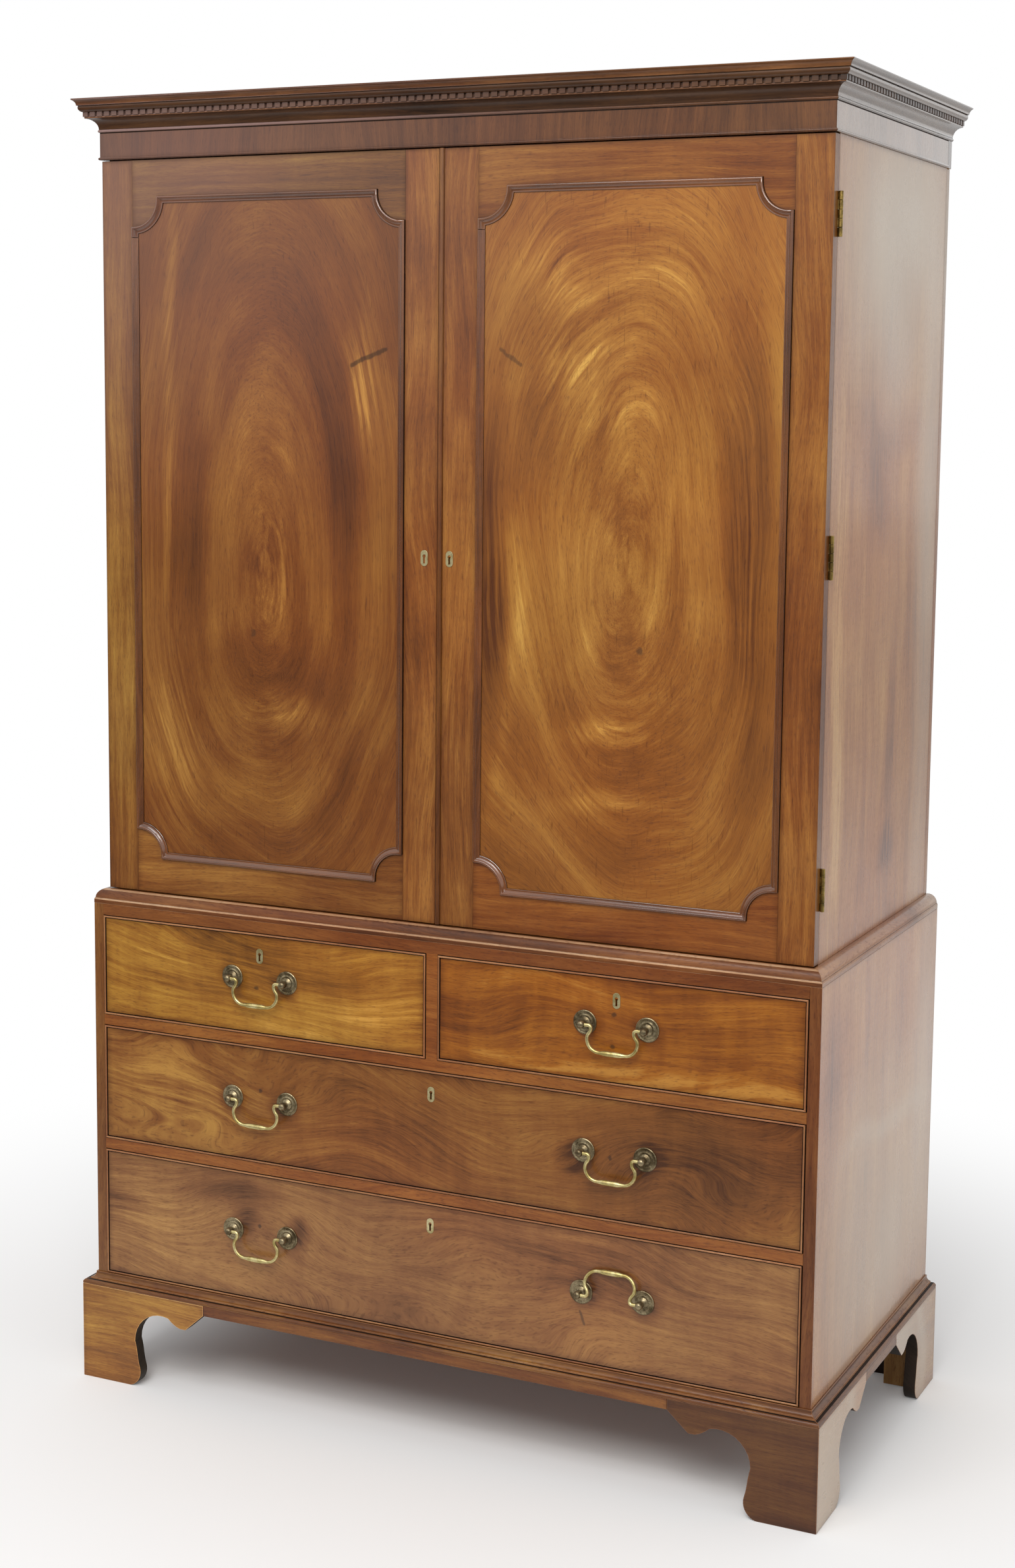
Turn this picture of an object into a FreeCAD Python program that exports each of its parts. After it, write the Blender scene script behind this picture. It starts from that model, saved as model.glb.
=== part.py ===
"""Mahogany linen press on bracket feet: a cupboard with sliding trays over a chest of four drawers.

Millimetres, +Z up, the front faces -Y. While it is built, X = 0 is the middle, Y = 0 the front face
of the chest and Z = 0 the floor. Every piece is moved at the end so that the origin is at the middle
of the overall box, on the floor.
"""

import FreeCAD
import Part
import math
import os

from FreeCAD import Vector

# ---- chest (lower stage) ----
chest_width = 1230.0
case_depth = 606.0
board = 18.0
back_board = 12.0
foot_height = 142.5
apron_height = 17.0
base_moulding_height = 18.0
base_moulding_reach = 18.5
base_moulding_nose = 1.5
base_moulding_round = 4.5
base_moulding_step = 6.5
base_moulding_fillet = 2.0
base_moulding_lip = 2.5
top_drawer_opening = 165.0
middle_drawer_opening = 191.0
bottom_drawer_opening = 212.0
rail_thickness = 17.0
rail_depth = 70.0
muntin_width = 19.0
dust_board = 8.0
runner_width = 45.0
guide_height = 14.0
stop_length = 40.0
stop_thickness = 8.0

# ---- bracket feet ----
bracket_thickness = 20.0
bracket_length = 233.0
toe_width = 111.0
toe_swell_height = 33.0
toe_round = 19.0
toe_slope = 0.25
foot_arc_count = 4
neck_width = 102.0
neck_height = 78.0
arch_reach = 166.0
arch_height = 126.0
lobe_reach = 194.0
lobe_height = 112.5
lobe_half = 5.0
rear_bracket_length = 150.0
corner_block = 46.0
corner_block_lift = 4.0
glue_block = 22.0
glue_block_length = 90.0

# ---- waist moulding and cupboard (upper stage) ----
waist_height = 23.0
waist_fillet = 8.5
waist_ledge = 19.0
waist_step = 1.5
cupboard_height = 1181.0
cupboard_floor = 28.0
cupboard_top = 22.0
door_setback = 18.0
door_thickness = 20.0
door_gap = 0.3
door_edge_gap = 1.5
planted_back = 18.0

# ---- doors ----
bead_width = 8.0
bead_proud = 4.0
meeting_gap = 1.0
moulding_margin = 61.0
moulding_width = 11.0
moulding_proud = 5.0
moulding_round = 2.5
moulding_step = 0.5
moulding_fillet = 3.0
corner_sweep = 46.0
sweep_count = 5
panel_thickness = 9.0
panel_recess = 1.0
panel_tongue = 8.0
door_key_drop = 22.0
left_key_inset = 21.0
right_key_inset = 12.0

# ---- hinges ----
hinge_length = 62.0
hinge_leaf = 14.0
hinge_metal = 1.8
knuckle_radius = 3.2
knuckle_sides = 8
knuckle_count = 3
knuckle_gap = 0.3
hinge_end_distance = 107.0
door_swing_clearance = 0.3

# ---- cornice ----
cornice_height = 92.5
frieze_overhang = 2.0
frieze_lead = 3.0
frieze_board = 20.0
cornice_reach = 32.0
cap_reach = 26.0
cap_height = 10.5
cap_nose = 2.0
bed_step = 0.5
bed_slope = 0.2
bed_reach = 23.7
dentil_reach = 18.5
dentil_depth = 5.0
dentil_web = 1.5
dentil_height = 7.0
dentil_pitch = 13.3
dentil_gap = 4.3
dentil_top = 72.5
lip_reach = 17.0
cove_radius = 16.0
cove_foot = 47.0
astragal_radius = 2.2
astragal_step = 0.5
frieze_bead_radius = 2.2
bead_arc_count = 4
cornice_lid = 8.0
cornice_lid_drop = 12.0

# ---- drawers ----
drawer_gap = 1.0
front_thickness = 22.0
cock_bead_width = 3.0
cock_bead_depth = 10.0
cock_bead_proud = 2.2
drawer_side = 10.0
drawer_bottom = 6.0
drawer_bottom_lift = 8.0
drawer_side_drop = 12.0
drawer_rear_gap = 34.0
key_drop = 37.0

# ---- handles ----
post_pitch = 99.0
handle_lift = 8.0
pivot_reach = 15.0
turned_sides = 10
post_hole_sides = 8
rosette_radius = 18.5
rosette_rim = 2.2
rosette_dish_radius = 13.0
rosette_dish = 1.2
collar_radius = 8.0
post_neck_radius = 3.6
post_neck_reach = 7.0
post_radius = 5.5
post_half_length = 4.5
post_cap_radius = 3.5
post_cap = 1.5
shank = 5.0
shank_gap = 0.2
nut = 14.0
nut_thickness = 4.0
bail_sides = 6
bail_arc_count = 2
bail_wire = 2.7
bail_pin_gap = 0.06
bail_pin_depth = 4.0
bail_pin_end_gap = 0.5
bail_neck = 34.0
bail_waist = 40.0
bail_waist_drop = 20.0
bail_drop = 39.5
bail_turn = 4.0
bail_shoulder = 19.0
grip_radius = 4.2
grip_half = 17.0
bail_lean = 14.0

# ---- locks and bolts ----
plate_width = 12.0
plate_height = 24.0
plate_thickness = 0.8
plate_end_sides = 7
keyhole_radius = 2.6
keyhole_lift = 3.0
keyhole_slot = 3.0
keyhole_drop = 8.0
lock_width = 56.0
lock_height = 50.0
lock_depth = 10.0
lock_wall = 1.5
lock_bolt_width = 26.0
lock_bolt_depth = 5.0
lock_bolt_height = 20.0
lock_throw = 8.0
slide_gap = 0.4
mortise_gap = 1.0
door_lock_width = 48.0
door_lock_height = 60.0
shoot_bolt = 6.0
shoot_bolt_length = 110.0
shoot_bolt_inset = 22.0
shoot_bolt_clearance = 0.2
shoot_bolt_throw = 12.0
shoot_bolt_end_gap = 1.0
shoot_plate_width = 20.0
shoot_plate_length = 100.0
shoot_plate_setback = 3.0
shoot_plate = 1.6
staple_length = 12.0
staple_width = 12.0
staple_wall = 1.5
staple_inset = 4.0
knob_radius = 4.0
knob_length = 7.0

# ---- sliding trays ----
tray_count = 4
tray_runner = 18.0
tray_side = 10.0
tray_floor = 8.0
tray_side_height = 95.0
tray_front_height = 76.0
tray_setback = 50.0
tray_back_gap = 10.0
tray_gap = 1.5
tray_lift = 0.5
tray_lowest = 20.0
tray_dip_half = 90.0
tray_dip = 22.0
tray_dip_count = 6

# ---- levels and planes worked out from the sizes above ----
plinth_top = foot_height + apron_height
floor_top = plinth_top + base_moulding_height
bottom_opening_top = floor_top + bottom_drawer_opening
middle_opening = bottom_opening_top + rail_thickness
middle_opening_top = middle_opening + middle_drawer_opening
top_opening = middle_opening_top + rail_thickness
top_opening_top = top_opening + top_drawer_opening
chest_top = top_opening_top + board
waist_top = chest_top + waist_height
cupboard_top_level = chest_top + cupboard_height
overall_height = cupboard_top_level + cornice_height
half_chest = chest_width / 2
half_inside = half_chest - board
half_plinth = half_chest + base_moulding_reach
half_cupboard = half_chest - waist_ledge
half_cupboard_inside = half_cupboard - board
door_front = door_setback
door_back = door_front + door_thickness
cupboard_front = door_back + door_gap
cupboard_rear = case_depth - planted_back
door_bottom = waist_top + door_edge_gap
door_top = cupboard_top_level - door_edge_gap
door_middle = (door_bottom + door_top) / 2
key_level = door_middle - door_key_drop
left_door_edge = -bead_width / 2 - meeting_gap
right_door_edge = bead_width / 2
half_frieze = half_cupboard + frieze_overhang
frieze_front = door_front - frieze_lead
hinge_axis_x = half_cupboard + knuckle_radius + door_swing_clearance
hinge_axis_y = door_back + door_gap / 2
handle_middle = (half_inside + muntin_width / 2) / 2
post_reach = pivot_reach + post_half_length + post_cap
front_reach = max(post_reach, base_moulding_reach, cornice_reach - frieze_front)
middle_depth = (case_depth - front_reach) / 2

X = Vector(1, 0, 0)
Y = Vector(0, 1, 0)
Z = Vector(0, 0, 1)

# How far a cutting shape runs past the face it opens.
overcut = 1.0


# ---- small makers ----
def box(x_low, x_high, y_low, y_high, z_low, z_high):
    """A square-edged board between two corners."""
    return Part.makeBox(x_high - x_low, y_high - y_low, z_high - z_low, Vector(x_low, y_low, z_low))


def ring(centre, first, second, sides):
    """The corners of a regular polygon round a centre, with one flat square to first."""
    half_turn = math.pi / sides
    corners = []
    for step in range(sides):
        angle = (2 * step + 1) * half_turn
        corners.append(centre + first * math.cos(angle) + second * math.sin(angle))
    return corners


def flat_face(corners):
    """The flat face that a list of corners goes round."""
    return Part.Face(Part.makePolygon(corners + corners[:1]))


def skinned(rings):
    """A solid of flat faces stretched from each ring of corners to the next."""
    faces = [flat_face(rings[0]), flat_face(rings[-1])]
    for near, far in zip(rings, rings[1:]):
        for step in range(len(near)):
            faces.append(flat_face([near[step - 1], near[step], far[step], far[step - 1]]))
    solid = Part.Solid(Part.Shell(faces))
    if solid.Volume < 0:
        solid.reverse()
    return solid


def lathed(place, along, first, profile, sides):
    """A many-sided turning. profile lists its radii and how far along the axis each one is."""
    second = along.cross(first)
    rings = []
    for radius, reach in profile:
        rings.append(ring(place + along * reach, first * radius, second * radius, sides))
    return skinned(rings)


def flat_bar(points, radii, sides):
    """A many-sided bar whose path lies square to Y, mitred where it turns."""
    rings = []
    for step, point in enumerate(points):
        before = (point - points[step - 1]).normalize() if step else (points[1] - point).normalize()
        after = (points[step + 1] - point).normalize() if step < len(points) - 1 else before
        along = (before + after).normalize()
        across = along.cross(Y) / along.dot(after)
        rings.append(ring(point, across * radii[step], Y * radii[step], sides))
    return skinned(rings)


def mirrored(solids):
    """The same pieces on the other side of the middle."""
    return [solid.mirror(Vector(0, 0, 0), X) for solid in solids]


def turned(shape, centre, axis, degrees):
    """A copy of a shape, turned about an axis."""
    copy = shape.copy()
    copy.rotate(centre, axis, degrees)
    return copy


class Pen:
    """Draws an outline in a plane from lines and arcs, each from where the last one ended.

    With chords set, each arc is drawn as that many straight lines.
    """

    def __init__(self, place, across, up, start, chords=0):
        self.place = place
        self.across = across
        self.up = up
        self.start = start
        self.spot = start
        self.chords = chords
        self.heading = (1, 0)
        self.edges = []

    def at(self, spot):
        return self.place + self.across * spot[0] + self.up * spot[1]

    def line(self, *spot):
        self.edges.append(Part.makeLine(self.at(self.spot), self.at(spot)))
        self.spot = spot

    def arc(self, through, spot):
        """An arc through one point to another. Its last heading is kept for smooth."""
        edge = Part.Arc(self.at(self.spot), self.at(through), self.at(spot)).toShape()
        tangent = edge.tangentAt(edge.LastParameter)
        self.heading = (tangent.dot(self.across), tangent.dot(self.up))
        if self.chords:
            points = edge.discretize(Number=self.chords + 1)
            self.edges += [Part.makeLine(near, far) for near, far in zip(points, points[1:])]
        else:
            self.edges.append(edge)
        self.spot = spot

    def bend(self, heading, spot):
        """An arc that leaves along heading and ends at spot."""
        run = (spot[0] - self.spot[0], spot[1] - self.spot[1])
        size = math.hypot(*heading)
        normal = (-heading[1] / size, heading[0] / size)
        radius = (run[0] ** 2 + run[1] ** 2) / (2 * (run[0] * normal[0] + run[1] * normal[1]))
        centre = (self.spot[0] + normal[0] * radius, self.spot[1] + normal[1] * radius)
        half = ((self.spot[0] + spot[0]) / 2 - centre[0], (self.spot[1] + spot[1]) / 2 - centre[1])
        grow = abs(radius) / math.hypot(*half)
        self.arc((centre[0] + half[0] * grow, centre[1] + half[1] * grow), spot)

    def smooth(self, spot):
        """An arc that carries on from the last arc's heading and ends at spot."""
        self.bend(self.heading, spot)

    def corners(self):
        """Where each line or arc ends, after the start."""
        return [edge.valueAt(edge.LastParameter) for edge in self.edges]

    def face(self):
        if self.spot != self.start:
            self.line(*self.start)
        return Part.Face(Part.Wire(self.edges))


def prism(corners, through):
    """A prism over a flat polygon."""
    return flat_face(corners).extrude(through)


def plan_prism(corners, z_low, z_high):
    """An upright prism over a polygon seen from above."""
    return prism([Vector(x, y, z_low) for x, y in corners], Z * (z_high - z_low))


def front_prism(corners, y_low, y_high):
    """A prism through the front's depth over a polygon seen from the front."""
    return prism([Vector(x, y_low, z) for x, z in corners], Y * (y_high - y_low))


def mitred_runs(section, half_width, front, rear, inner, outer, z_low, z_high):
    """A front run and two returns with the same section, mitred at the front corners.

    section(place, outwards) gives the section's face, with its zero on the wall it is planted on.
    inner and outer say how far the section goes behind and in front of that wall.
    """
    corner_in = (half_width - inner, front + inner)
    corner_out = (half_width + outer, front - outer)
    bar = section(Vector(-half_width - outer, front, 0), Y * -1).extrude(X * 2 * (half_width + outer))
    front_plan = [(-corner_out[0], corner_out[1]), corner_out, corner_in, (-corner_in[0], corner_in[1])]
    front_run = bar.common(plan_prism(front_plan, z_low, z_high))
    bar = section(Vector(half_width, front - outer, 0), X).extrude(Y * (rear - front + outer))
    side_plan = [corner_out, (corner_out[0], rear), (corner_in[0], rear), corner_in]
    right_run = bar.common(plan_prism(side_plan, z_low, z_high))
    return front_run.Solids + right_run.Solids + mirrored(right_run.Solids)


nodes = {}


# ---- chest ----
def lock_mortise(x_middle, z_low):
    """The hole over a drawer's lock, which its bolt rises into."""
    half_wide = lock_bolt_width / 2 + mortise_gap
    y_low = front_thickness - lock_depth + lock_wall - mortise_gap
    y_high = y_low + lock_bolt_depth + slide_gap + 2 * mortise_gap
    return box(x_middle - half_wide, x_middle + half_wide, y_low, y_high,
               z_low - overcut, z_low + lock_throw + overcut)


chest_side = box(half_inside, half_chest, 0, case_depth, plinth_top, chest_top)
nodes["chest_sides"] = [chest_side] + mirrored([chest_side])

chest_rear = case_depth - back_board
top_board = box(-half_inside, half_inside, 0, chest_rear, top_opening_top, chest_top)
for x_middle in (-handle_middle, handle_middle):
    top_board = top_board.cut(lock_mortise(x_middle, top_opening_top))
floor_board = box(-half_inside, half_inside, 0, chest_rear, plinth_top, floor_top)
rear_board = box(-half_inside, half_inside, chest_rear, case_depth, plinth_top, chest_top)
nodes["chest_boards"] = [top_board, floor_board, rear_board]

rails = []
for z_low in (bottom_opening_top, middle_opening_top):
    rail = box(-half_inside, half_inside, 0, rail_depth, z_low, z_low + rail_thickness)
    rails.append(rail.cut(lock_mortise(0, z_low)))
muntin = box(-muntin_width / 2, muntin_width / 2, 0, rail_depth, top_opening, top_opening_top)
nodes["drawer_rails"] = rails + [muntin]

runners = []
dust_boards = []
for z_low in (bottom_opening_top, middle_opening_top):
    z_high = z_low + rail_thickness
    runner = box(half_inside - runner_width, half_inside, rail_depth, chest_rear, z_low, z_high)
    runners += [runner] + mirrored([runner])
    dust_low = z_low + (rail_thickness - dust_board) / 2
    half_dust = half_inside - runner_width
    dust_boards.append(box(-half_dust, half_dust, rail_depth, chest_rear, dust_low, dust_low + dust_board))
middle_runner_low = middle_opening_top + (rail_thickness + dust_board) / 2
middle_runner = box(-runner_width, runner_width, rail_depth, chest_rear, middle_runner_low, top_opening)
guide = box(-muntin_width / 2, muntin_width / 2, rail_depth, chest_rear, top_opening, top_opening + guide_height)
stop_front = front_thickness + drawer_gap / 2
stop_height = drawer_bottom_lift - drawer_gap
for z_low in (floor_top, middle_opening, top_opening):
    stop = box(handle_middle / 2, handle_middle / 2 + stop_length, stop_front, stop_front + stop_thickness,
               z_low, z_low + stop_height)
    runners += [stop] + mirrored([stop])
nodes["drawer_supports"] = runners + [middle_runner, guide] + dust_boards


# ---- base moulding, apron and bracket feet ----
def base_section(place, outwards):
    """A round, a flat step and a hollow, from the bottom up."""
    pen = Pen(place + Z * plinth_top, outwards, Z, (0, 0))
    step_reach = base_moulding_reach / 2
    lip_low = base_moulding_height - base_moulding_nose
    pen.line(base_moulding_reach, 0)
    pen.line(base_moulding_reach, base_moulding_nose)
    pen.bend((0, 1), (base_moulding_reach - base_moulding_round, base_moulding_step))
    pen.line(step_reach, base_moulding_step)
    pen.line(step_reach, base_moulding_step + base_moulding_fillet)
    pen.bend((-1, 0), (base_moulding_lip, lip_low))
    pen.line(base_moulding_lip, base_moulding_height)
    pen.line(0, base_moulding_height)
    return pen.face()


nodes["base_moulding"] = mitred_runs(base_section, half_chest, 0, case_depth, 0, base_moulding_reach + overcut,
                                     plinth_top - overcut, floor_top + overcut)


def bracket_outline(place, along):
    """The shaped face of a bracket: toe, swell, neck, arch and lobe, up to the apron."""
    swell_middle = ((toe_width + neck_width) / 2, (toe_swell_height + neck_height) / 2)
    pen = Pen(place, along, Z, (0, 0), foot_arc_count)
    pen.line(toe_width - toe_round, 0)
    pen.bend((1, toe_slope), (toe_width, toe_swell_height))
    pen.smooth(swell_middle)
    pen.smooth((neck_width, neck_height))
    pen.bend((0, 1), (arch_reach, arch_height))
    pen.bend((1, -1), (lobe_reach - lobe_half, lobe_height))
    pen.line(lobe_reach + lobe_half, lobe_height)
    pen.line(bracket_length, foot_height)
    pen.line(bracket_length, plinth_top)
    pen.line(0, plinth_top)
    return pen.face()


def mitre_prism(corner, first, second):
    """The half of a corner that belongs to the board lying along first."""
    reach = bracket_length * 2
    far = corner + first * reach
    inside = corner + (first + second) * bracket_thickness
    beyond = far + second * bracket_thickness
    outline = [(corner.x, corner.y), (far.x, far.y), (beyond.x, beyond.y), (inside.x, inside.y)]
    return plan_prism(outline, -overcut, plinth_top + overcut)


def shaped_bracket(corner, along, inwards):
    """One bracket board from a corner, mitred where it meets the other."""
    outline = bracket_outline(corner, along)
    return outline.extrude(inwards * bracket_thickness).common(mitre_prism(corner, along, inwards)).Solids[0]


def corner_blocks(corner, along, inwards):
    """The square block behind a foot's corner and the two glue blocks beside it."""
    start = corner + (along + inwards) * bracket_thickness
    solids = [block(start, along * corner_block, inwards * corner_block, corner_block_lift, plinth_top)]
    low = plinth_top - glue_block
    for first, second in ((along, inwards), (inwards, along)):
        place = start + first * corner_block
        solids.append(block(place, first * glue_block_length, second * glue_block, low, plinth_top))
    return solids


def block(place, first, second, z_low, z_high):
    """An upright block over the rectangle that two directions span from a point."""
    end = place + first + second
    x_low, x_high = sorted((place.x, end.x))
    y_low, y_high = sorted((place.y, end.y))
    return box(x_low, x_high, y_low, y_high, z_low, z_high)


def plain_bracket(corner, along, inwards):
    """A rear foot's back board, cut straight on a slope."""
    pen = Pen(corner, along, Z, (0, 0))
    pen.line(neck_width, 0)
    pen.line(neck_width, neck_height)
    pen.line(rear_bracket_length, foot_height)
    pen.line(rear_bracket_length, plinth_top)
    pen.line(0, plinth_top)
    return pen.face().extrude(inwards * bracket_thickness).common(mitre_prism(corner, along, inwards)).Solids[0]


front_corner = Vector(half_plinth, -base_moulding_reach, 0)
front_foot = [shaped_bracket(front_corner, X * -1, Y), shaped_bracket(front_corner, Y, X * -1)]
front_foot += corner_blocks(front_corner, X * -1, Y)
nodes["front_right_foot"] = front_foot
nodes["front_left_foot"] = mirrored(front_foot)

rear_corner = Vector(half_plinth, case_depth, 0)
rear_foot = [plain_bracket(rear_corner, X * -1, Y * -1), shaped_bracket(rear_corner, Y * -1, X * -1)]
rear_foot += corner_blocks(rear_corner, X * -1, Y * -1)
nodes["rear_right_foot"] = rear_foot
nodes["rear_left_foot"] = mirrored(rear_foot)

half_apron = half_plinth - bracket_length
apron_front = box(-half_apron, half_apron, -base_moulding_reach, bracket_thickness - base_moulding_reach,
                  foot_height, plinth_top)
side_apron = box(half_plinth - bracket_thickness, half_plinth, bracket_length - base_moulding_reach,
                 case_depth - bracket_length, foot_height, plinth_top)
half_rear_apron = half_plinth - rear_bracket_length
apron_rear = box(-half_rear_apron, half_rear_apron, case_depth - bracket_thickness, case_depth,
                 foot_height, plinth_top)
nodes["apron_rails"] = [apron_front, apron_rear, side_apron] + mirrored([side_apron])


# ---- waist moulding ----
def waist_section(place, outwards):
    """A square fillet under a quarter round that dies against the cupboard."""
    pen = Pen(place + Z * chest_top, outwards, Z, (0, 0))
    inner = door_gap - waist_ledge
    pen.line(0, waist_fillet)
    pen.line(-waist_step, waist_fillet)
    pen.bend((0, 1), (inner + waist_step, waist_height))
    pen.line(inner, waist_height)
    pen.line(inner, 0)
    return pen.face()


waist_runs = mitred_runs(waist_section, half_chest, 0, case_depth, waist_ledge - door_gap, overcut,
                         chest_top - overcut, waist_top + overcut)
ledge_half = half_cupboard + door_gap
ledge = box(-ledge_half, ledge_half, waist_ledge - door_gap, door_back, chest_top, waist_top)
nodes["waist_moulding"] = waist_runs + [ledge]

# ---- cupboard ----
hinge_levels = (door_bottom + hinge_end_distance, door_middle, door_top - hinge_end_distance)
cupboard_side = box(half_cupboard_inside, half_cupboard, cupboard_front, cupboard_rear,
                    chest_top, cupboard_top_level)
for level in hinge_levels:
    low = level - hinge_length / 2
    cupboard_side = cupboard_side.cut(box(half_cupboard - hinge_leaf, half_cupboard + overcut,
                                          cupboard_front - overcut, cupboard_front + hinge_metal,
                                          low, low + hinge_length))
nodes["cupboard_sides"] = [cupboard_side] + mirrored([cupboard_side])

shoot_x = left_door_edge - shoot_bolt_inset
shoot_y = door_back + shoot_plate + shoot_bolt_clearance + shoot_bolt / 2
cupboard_floor_top = chest_top + cupboard_floor
cupboard_ceiling = cupboard_top_level - cupboard_top
floor_panel = box(-half_cupboard_inside, half_cupboard_inside, cupboard_front, cupboard_rear,
                  chest_top, cupboard_floor_top)
ceiling_panel = box(-half_cupboard_inside, half_cupboard_inside, cupboard_front, cupboard_rear,
                    cupboard_ceiling, cupboard_top_level)
keep_half = shoot_bolt / 2 + mortise_gap


def bolt_keep(z_start, down):
    """The socket in a cupboard board that a door's bolt shoots into."""
    z_low, z_high = sorted((z_start - down, z_start + down * (shoot_bolt_throw + mortise_gap)))
    return box(shoot_x - keep_half, shoot_x + keep_half, shoot_y - keep_half, shoot_y + keep_half, z_low, z_high)


floor_keep = bolt_keep(cupboard_floor_top, -1)
ceiling_keep = bolt_keep(cupboard_ceiling, 1)
nodes["cupboard_boards"] = [floor_panel.cut(floor_keep), ceiling_panel.cut(ceiling_keep)]

back_half = half_cupboard / 2
nodes["cupboard_back"] = [
    box(low, low + back_half, cupboard_rear, case_depth, chest_top, cupboard_top_level)
    for low in (-half_cupboard, -back_half, 0, back_half)
]

tray_space = cupboard_ceiling - cupboard_floor_top - tray_lowest
tray_pitch = tray_space / tray_count
tray_levels = [cupboard_floor_top + tray_lowest + tray_pitch * step for step in range(tray_count)]
tray_front = cupboard_front + tray_setback
tray_rear = cupboard_rear - tray_back_gap
tray_bearers = []
for level in tray_levels:
    bearer = box(half_cupboard_inside - tray_runner, half_cupboard_inside, tray_front, cupboard_rear,
                 level - tray_runner, level)
    tray_bearers += [bearer] + mirrored([bearer])
nodes["tray_runners"] = tray_bearers


# ---- cornice ----
def frieze_section(place, outwards):
    """The plain frieze board with a small bead along its lower edge."""
    pen = Pen(place + Z * cupboard_top_level, outwards, Z, (0, 0), bead_arc_count)
    pen.arc((frieze_bead_radius, frieze_bead_radius), (0, 2 * frieze_bead_radius))
    pen.line(0, cornice_height)
    pen.line(-frieze_board, cornice_height)
    pen.line(-frieze_board, 0)
    return pen.face()


def cornice_section(place, outwards):
    """Astragal, hollow, lip, dentil bed, round and hollowed cap, from the bottom up."""
    bead_top = cove_foot - astragal_step
    cove_stand = lip_reach - cove_radius
    pen = Pen(place + Z * cupboard_top_level, outwards, Z, (0, bead_top - 2 * astragal_radius))
    lip_low = cove_foot + cove_radius
    bed_top = cornice_height - cap_height
    tooth_foot = dentil_top - dentil_height
    hollow_middle = cove_radius * (1 - math.sqrt(0.5))
    pen.arc((astragal_radius, bead_top - astragal_radius), (cove_stand, bead_top))
    pen.line(cove_stand, cove_foot)
    pen.arc((cove_stand + hollow_middle, lip_low - hollow_middle), (lip_reach, lip_low))
    pen.line(lip_reach, tooth_foot)
    pen.line(dentil_reach - dentil_depth, tooth_foot)
    pen.line(dentil_reach - dentil_depth, dentil_top)
    pen.line(dentil_reach + bed_step, dentil_top)
    pen.bend((1, bed_slope), (bed_reach, bed_top))
    pen.line(cap_reach, bed_top)
    pen.bend((0, 1), (cornice_reach, cornice_height - cap_nose))
    pen.line(cornice_reach, cornice_height)
    pen.line(0, cornice_height)
    return pen.face()


nodes["cornice_frieze"] = mitred_runs(frieze_section, half_frieze, frieze_front, case_depth - frieze_board,
                                      frieze_board, frieze_bead_radius + overcut, cupboard_top_level - overcut,
                                      overall_height + overcut)
lid_top = overall_height - cornice_lid_drop
nodes["cornice_frieze"] += [
    box(-half_frieze, half_frieze, case_depth - frieze_board, case_depth, cupboard_top_level, overall_height),
    box(frieze_board - half_frieze, half_frieze - frieze_board, frieze_front + frieze_board,
        case_depth - frieze_board, lid_top - cornice_lid, lid_top),
]
nodes["cornice_moulding"] = mitred_runs(cornice_section, half_frieze, frieze_front, case_depth, 0,
                                        cornice_reach + overcut, cupboard_top_level, overall_height + overcut)


def comb(length, teeth):
    """A dentil strip seen from above: teeth along X from zero, their faces at Y = -dentil_depth."""
    tooth = (length - (teeth - 1) * dentil_gap) / teeth
    points = [Vector(0, 0, 0), Vector(0, -dentil_depth, 0)]
    for step in range(1, teeth):
        gap_end = step * (tooth + dentil_gap)
        gap_start = gap_end - dentil_gap
        points += [Vector(gap_start, -dentil_depth, 0), Vector(gap_start, -dentil_web, 0)]
        points += [Vector(gap_end, -dentil_web, 0), Vector(gap_end, -dentil_depth, 0)]
    points += [Vector(length, -dentil_depth, 0), Vector(length, 0, 0)]
    return prism(points, Z * dentil_height)


def dentil_strips():
    """Toothed strips on the dentil bed: one along the front and one on each return."""
    bed = dentil_reach - dentil_depth
    low = cupboard_top_level + dentil_top - dentil_height
    front_length = 2 * (half_frieze + dentil_reach)
    front = comb(front_length, round(front_length / dentil_pitch))
    front.translate(Vector(-front_length / 2, frieze_front - bed, low))
    side_length = case_depth - frieze_front + bed - dentil_gap
    side = comb(side_length, round(side_length / dentil_pitch))
    side.rotate(Vector(0, 0, 0), Z, 90)
    side.translate(Vector(half_frieze + bed, frieze_front - bed + dentil_gap, low))
    return [front, side] + mirrored([side])


nodes["dentil_course"] = dentil_strips()


# ---- hinges ----
def hinge_half(level, y_low, own):
    """A leaf with its knuckles. own is 0 for the carcass leaf, which has the odd knuckles, or 1."""
    low = level - hinge_length / 2
    pitch = hinge_length / knuckle_count
    half = box(half_cupboard - hinge_leaf, half_cupboard, y_low, y_low + hinge_metal, low, low + hinge_length)
    for step in range(own, knuckle_count, 2):
        start = low + step * pitch + own * knuckle_gap / 2
        length = pitch - own * knuckle_gap
        centre = Vector(hinge_axis_x, hinge_axis_y, start)
        knuckle = prism(ring(centre, X * knuckle_radius, Y * knuckle_radius, knuckle_sides), Z * length)
        web = box(half_cupboard, hinge_axis_x, y_low, y_low + hinge_metal, start, start + length)
        half = half.fuse(knuckle.fuse(web))
    return half.removeSplitter().Solids[0]


fixed_leaves = [hinge_half(level, cupboard_front, 0) for level in hinge_levels]
door_leaves = [hinge_half(level, door_back - hinge_metal, 1) for level in hinge_levels]
nodes["fixed_hinge_leaves"] = fixed_leaves + mirrored(fixed_leaves)
nodes["right_door_hinge_leaves"] = door_leaves
nodes["left_door_hinge_leaves"] = mirrored(door_leaves)


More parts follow.
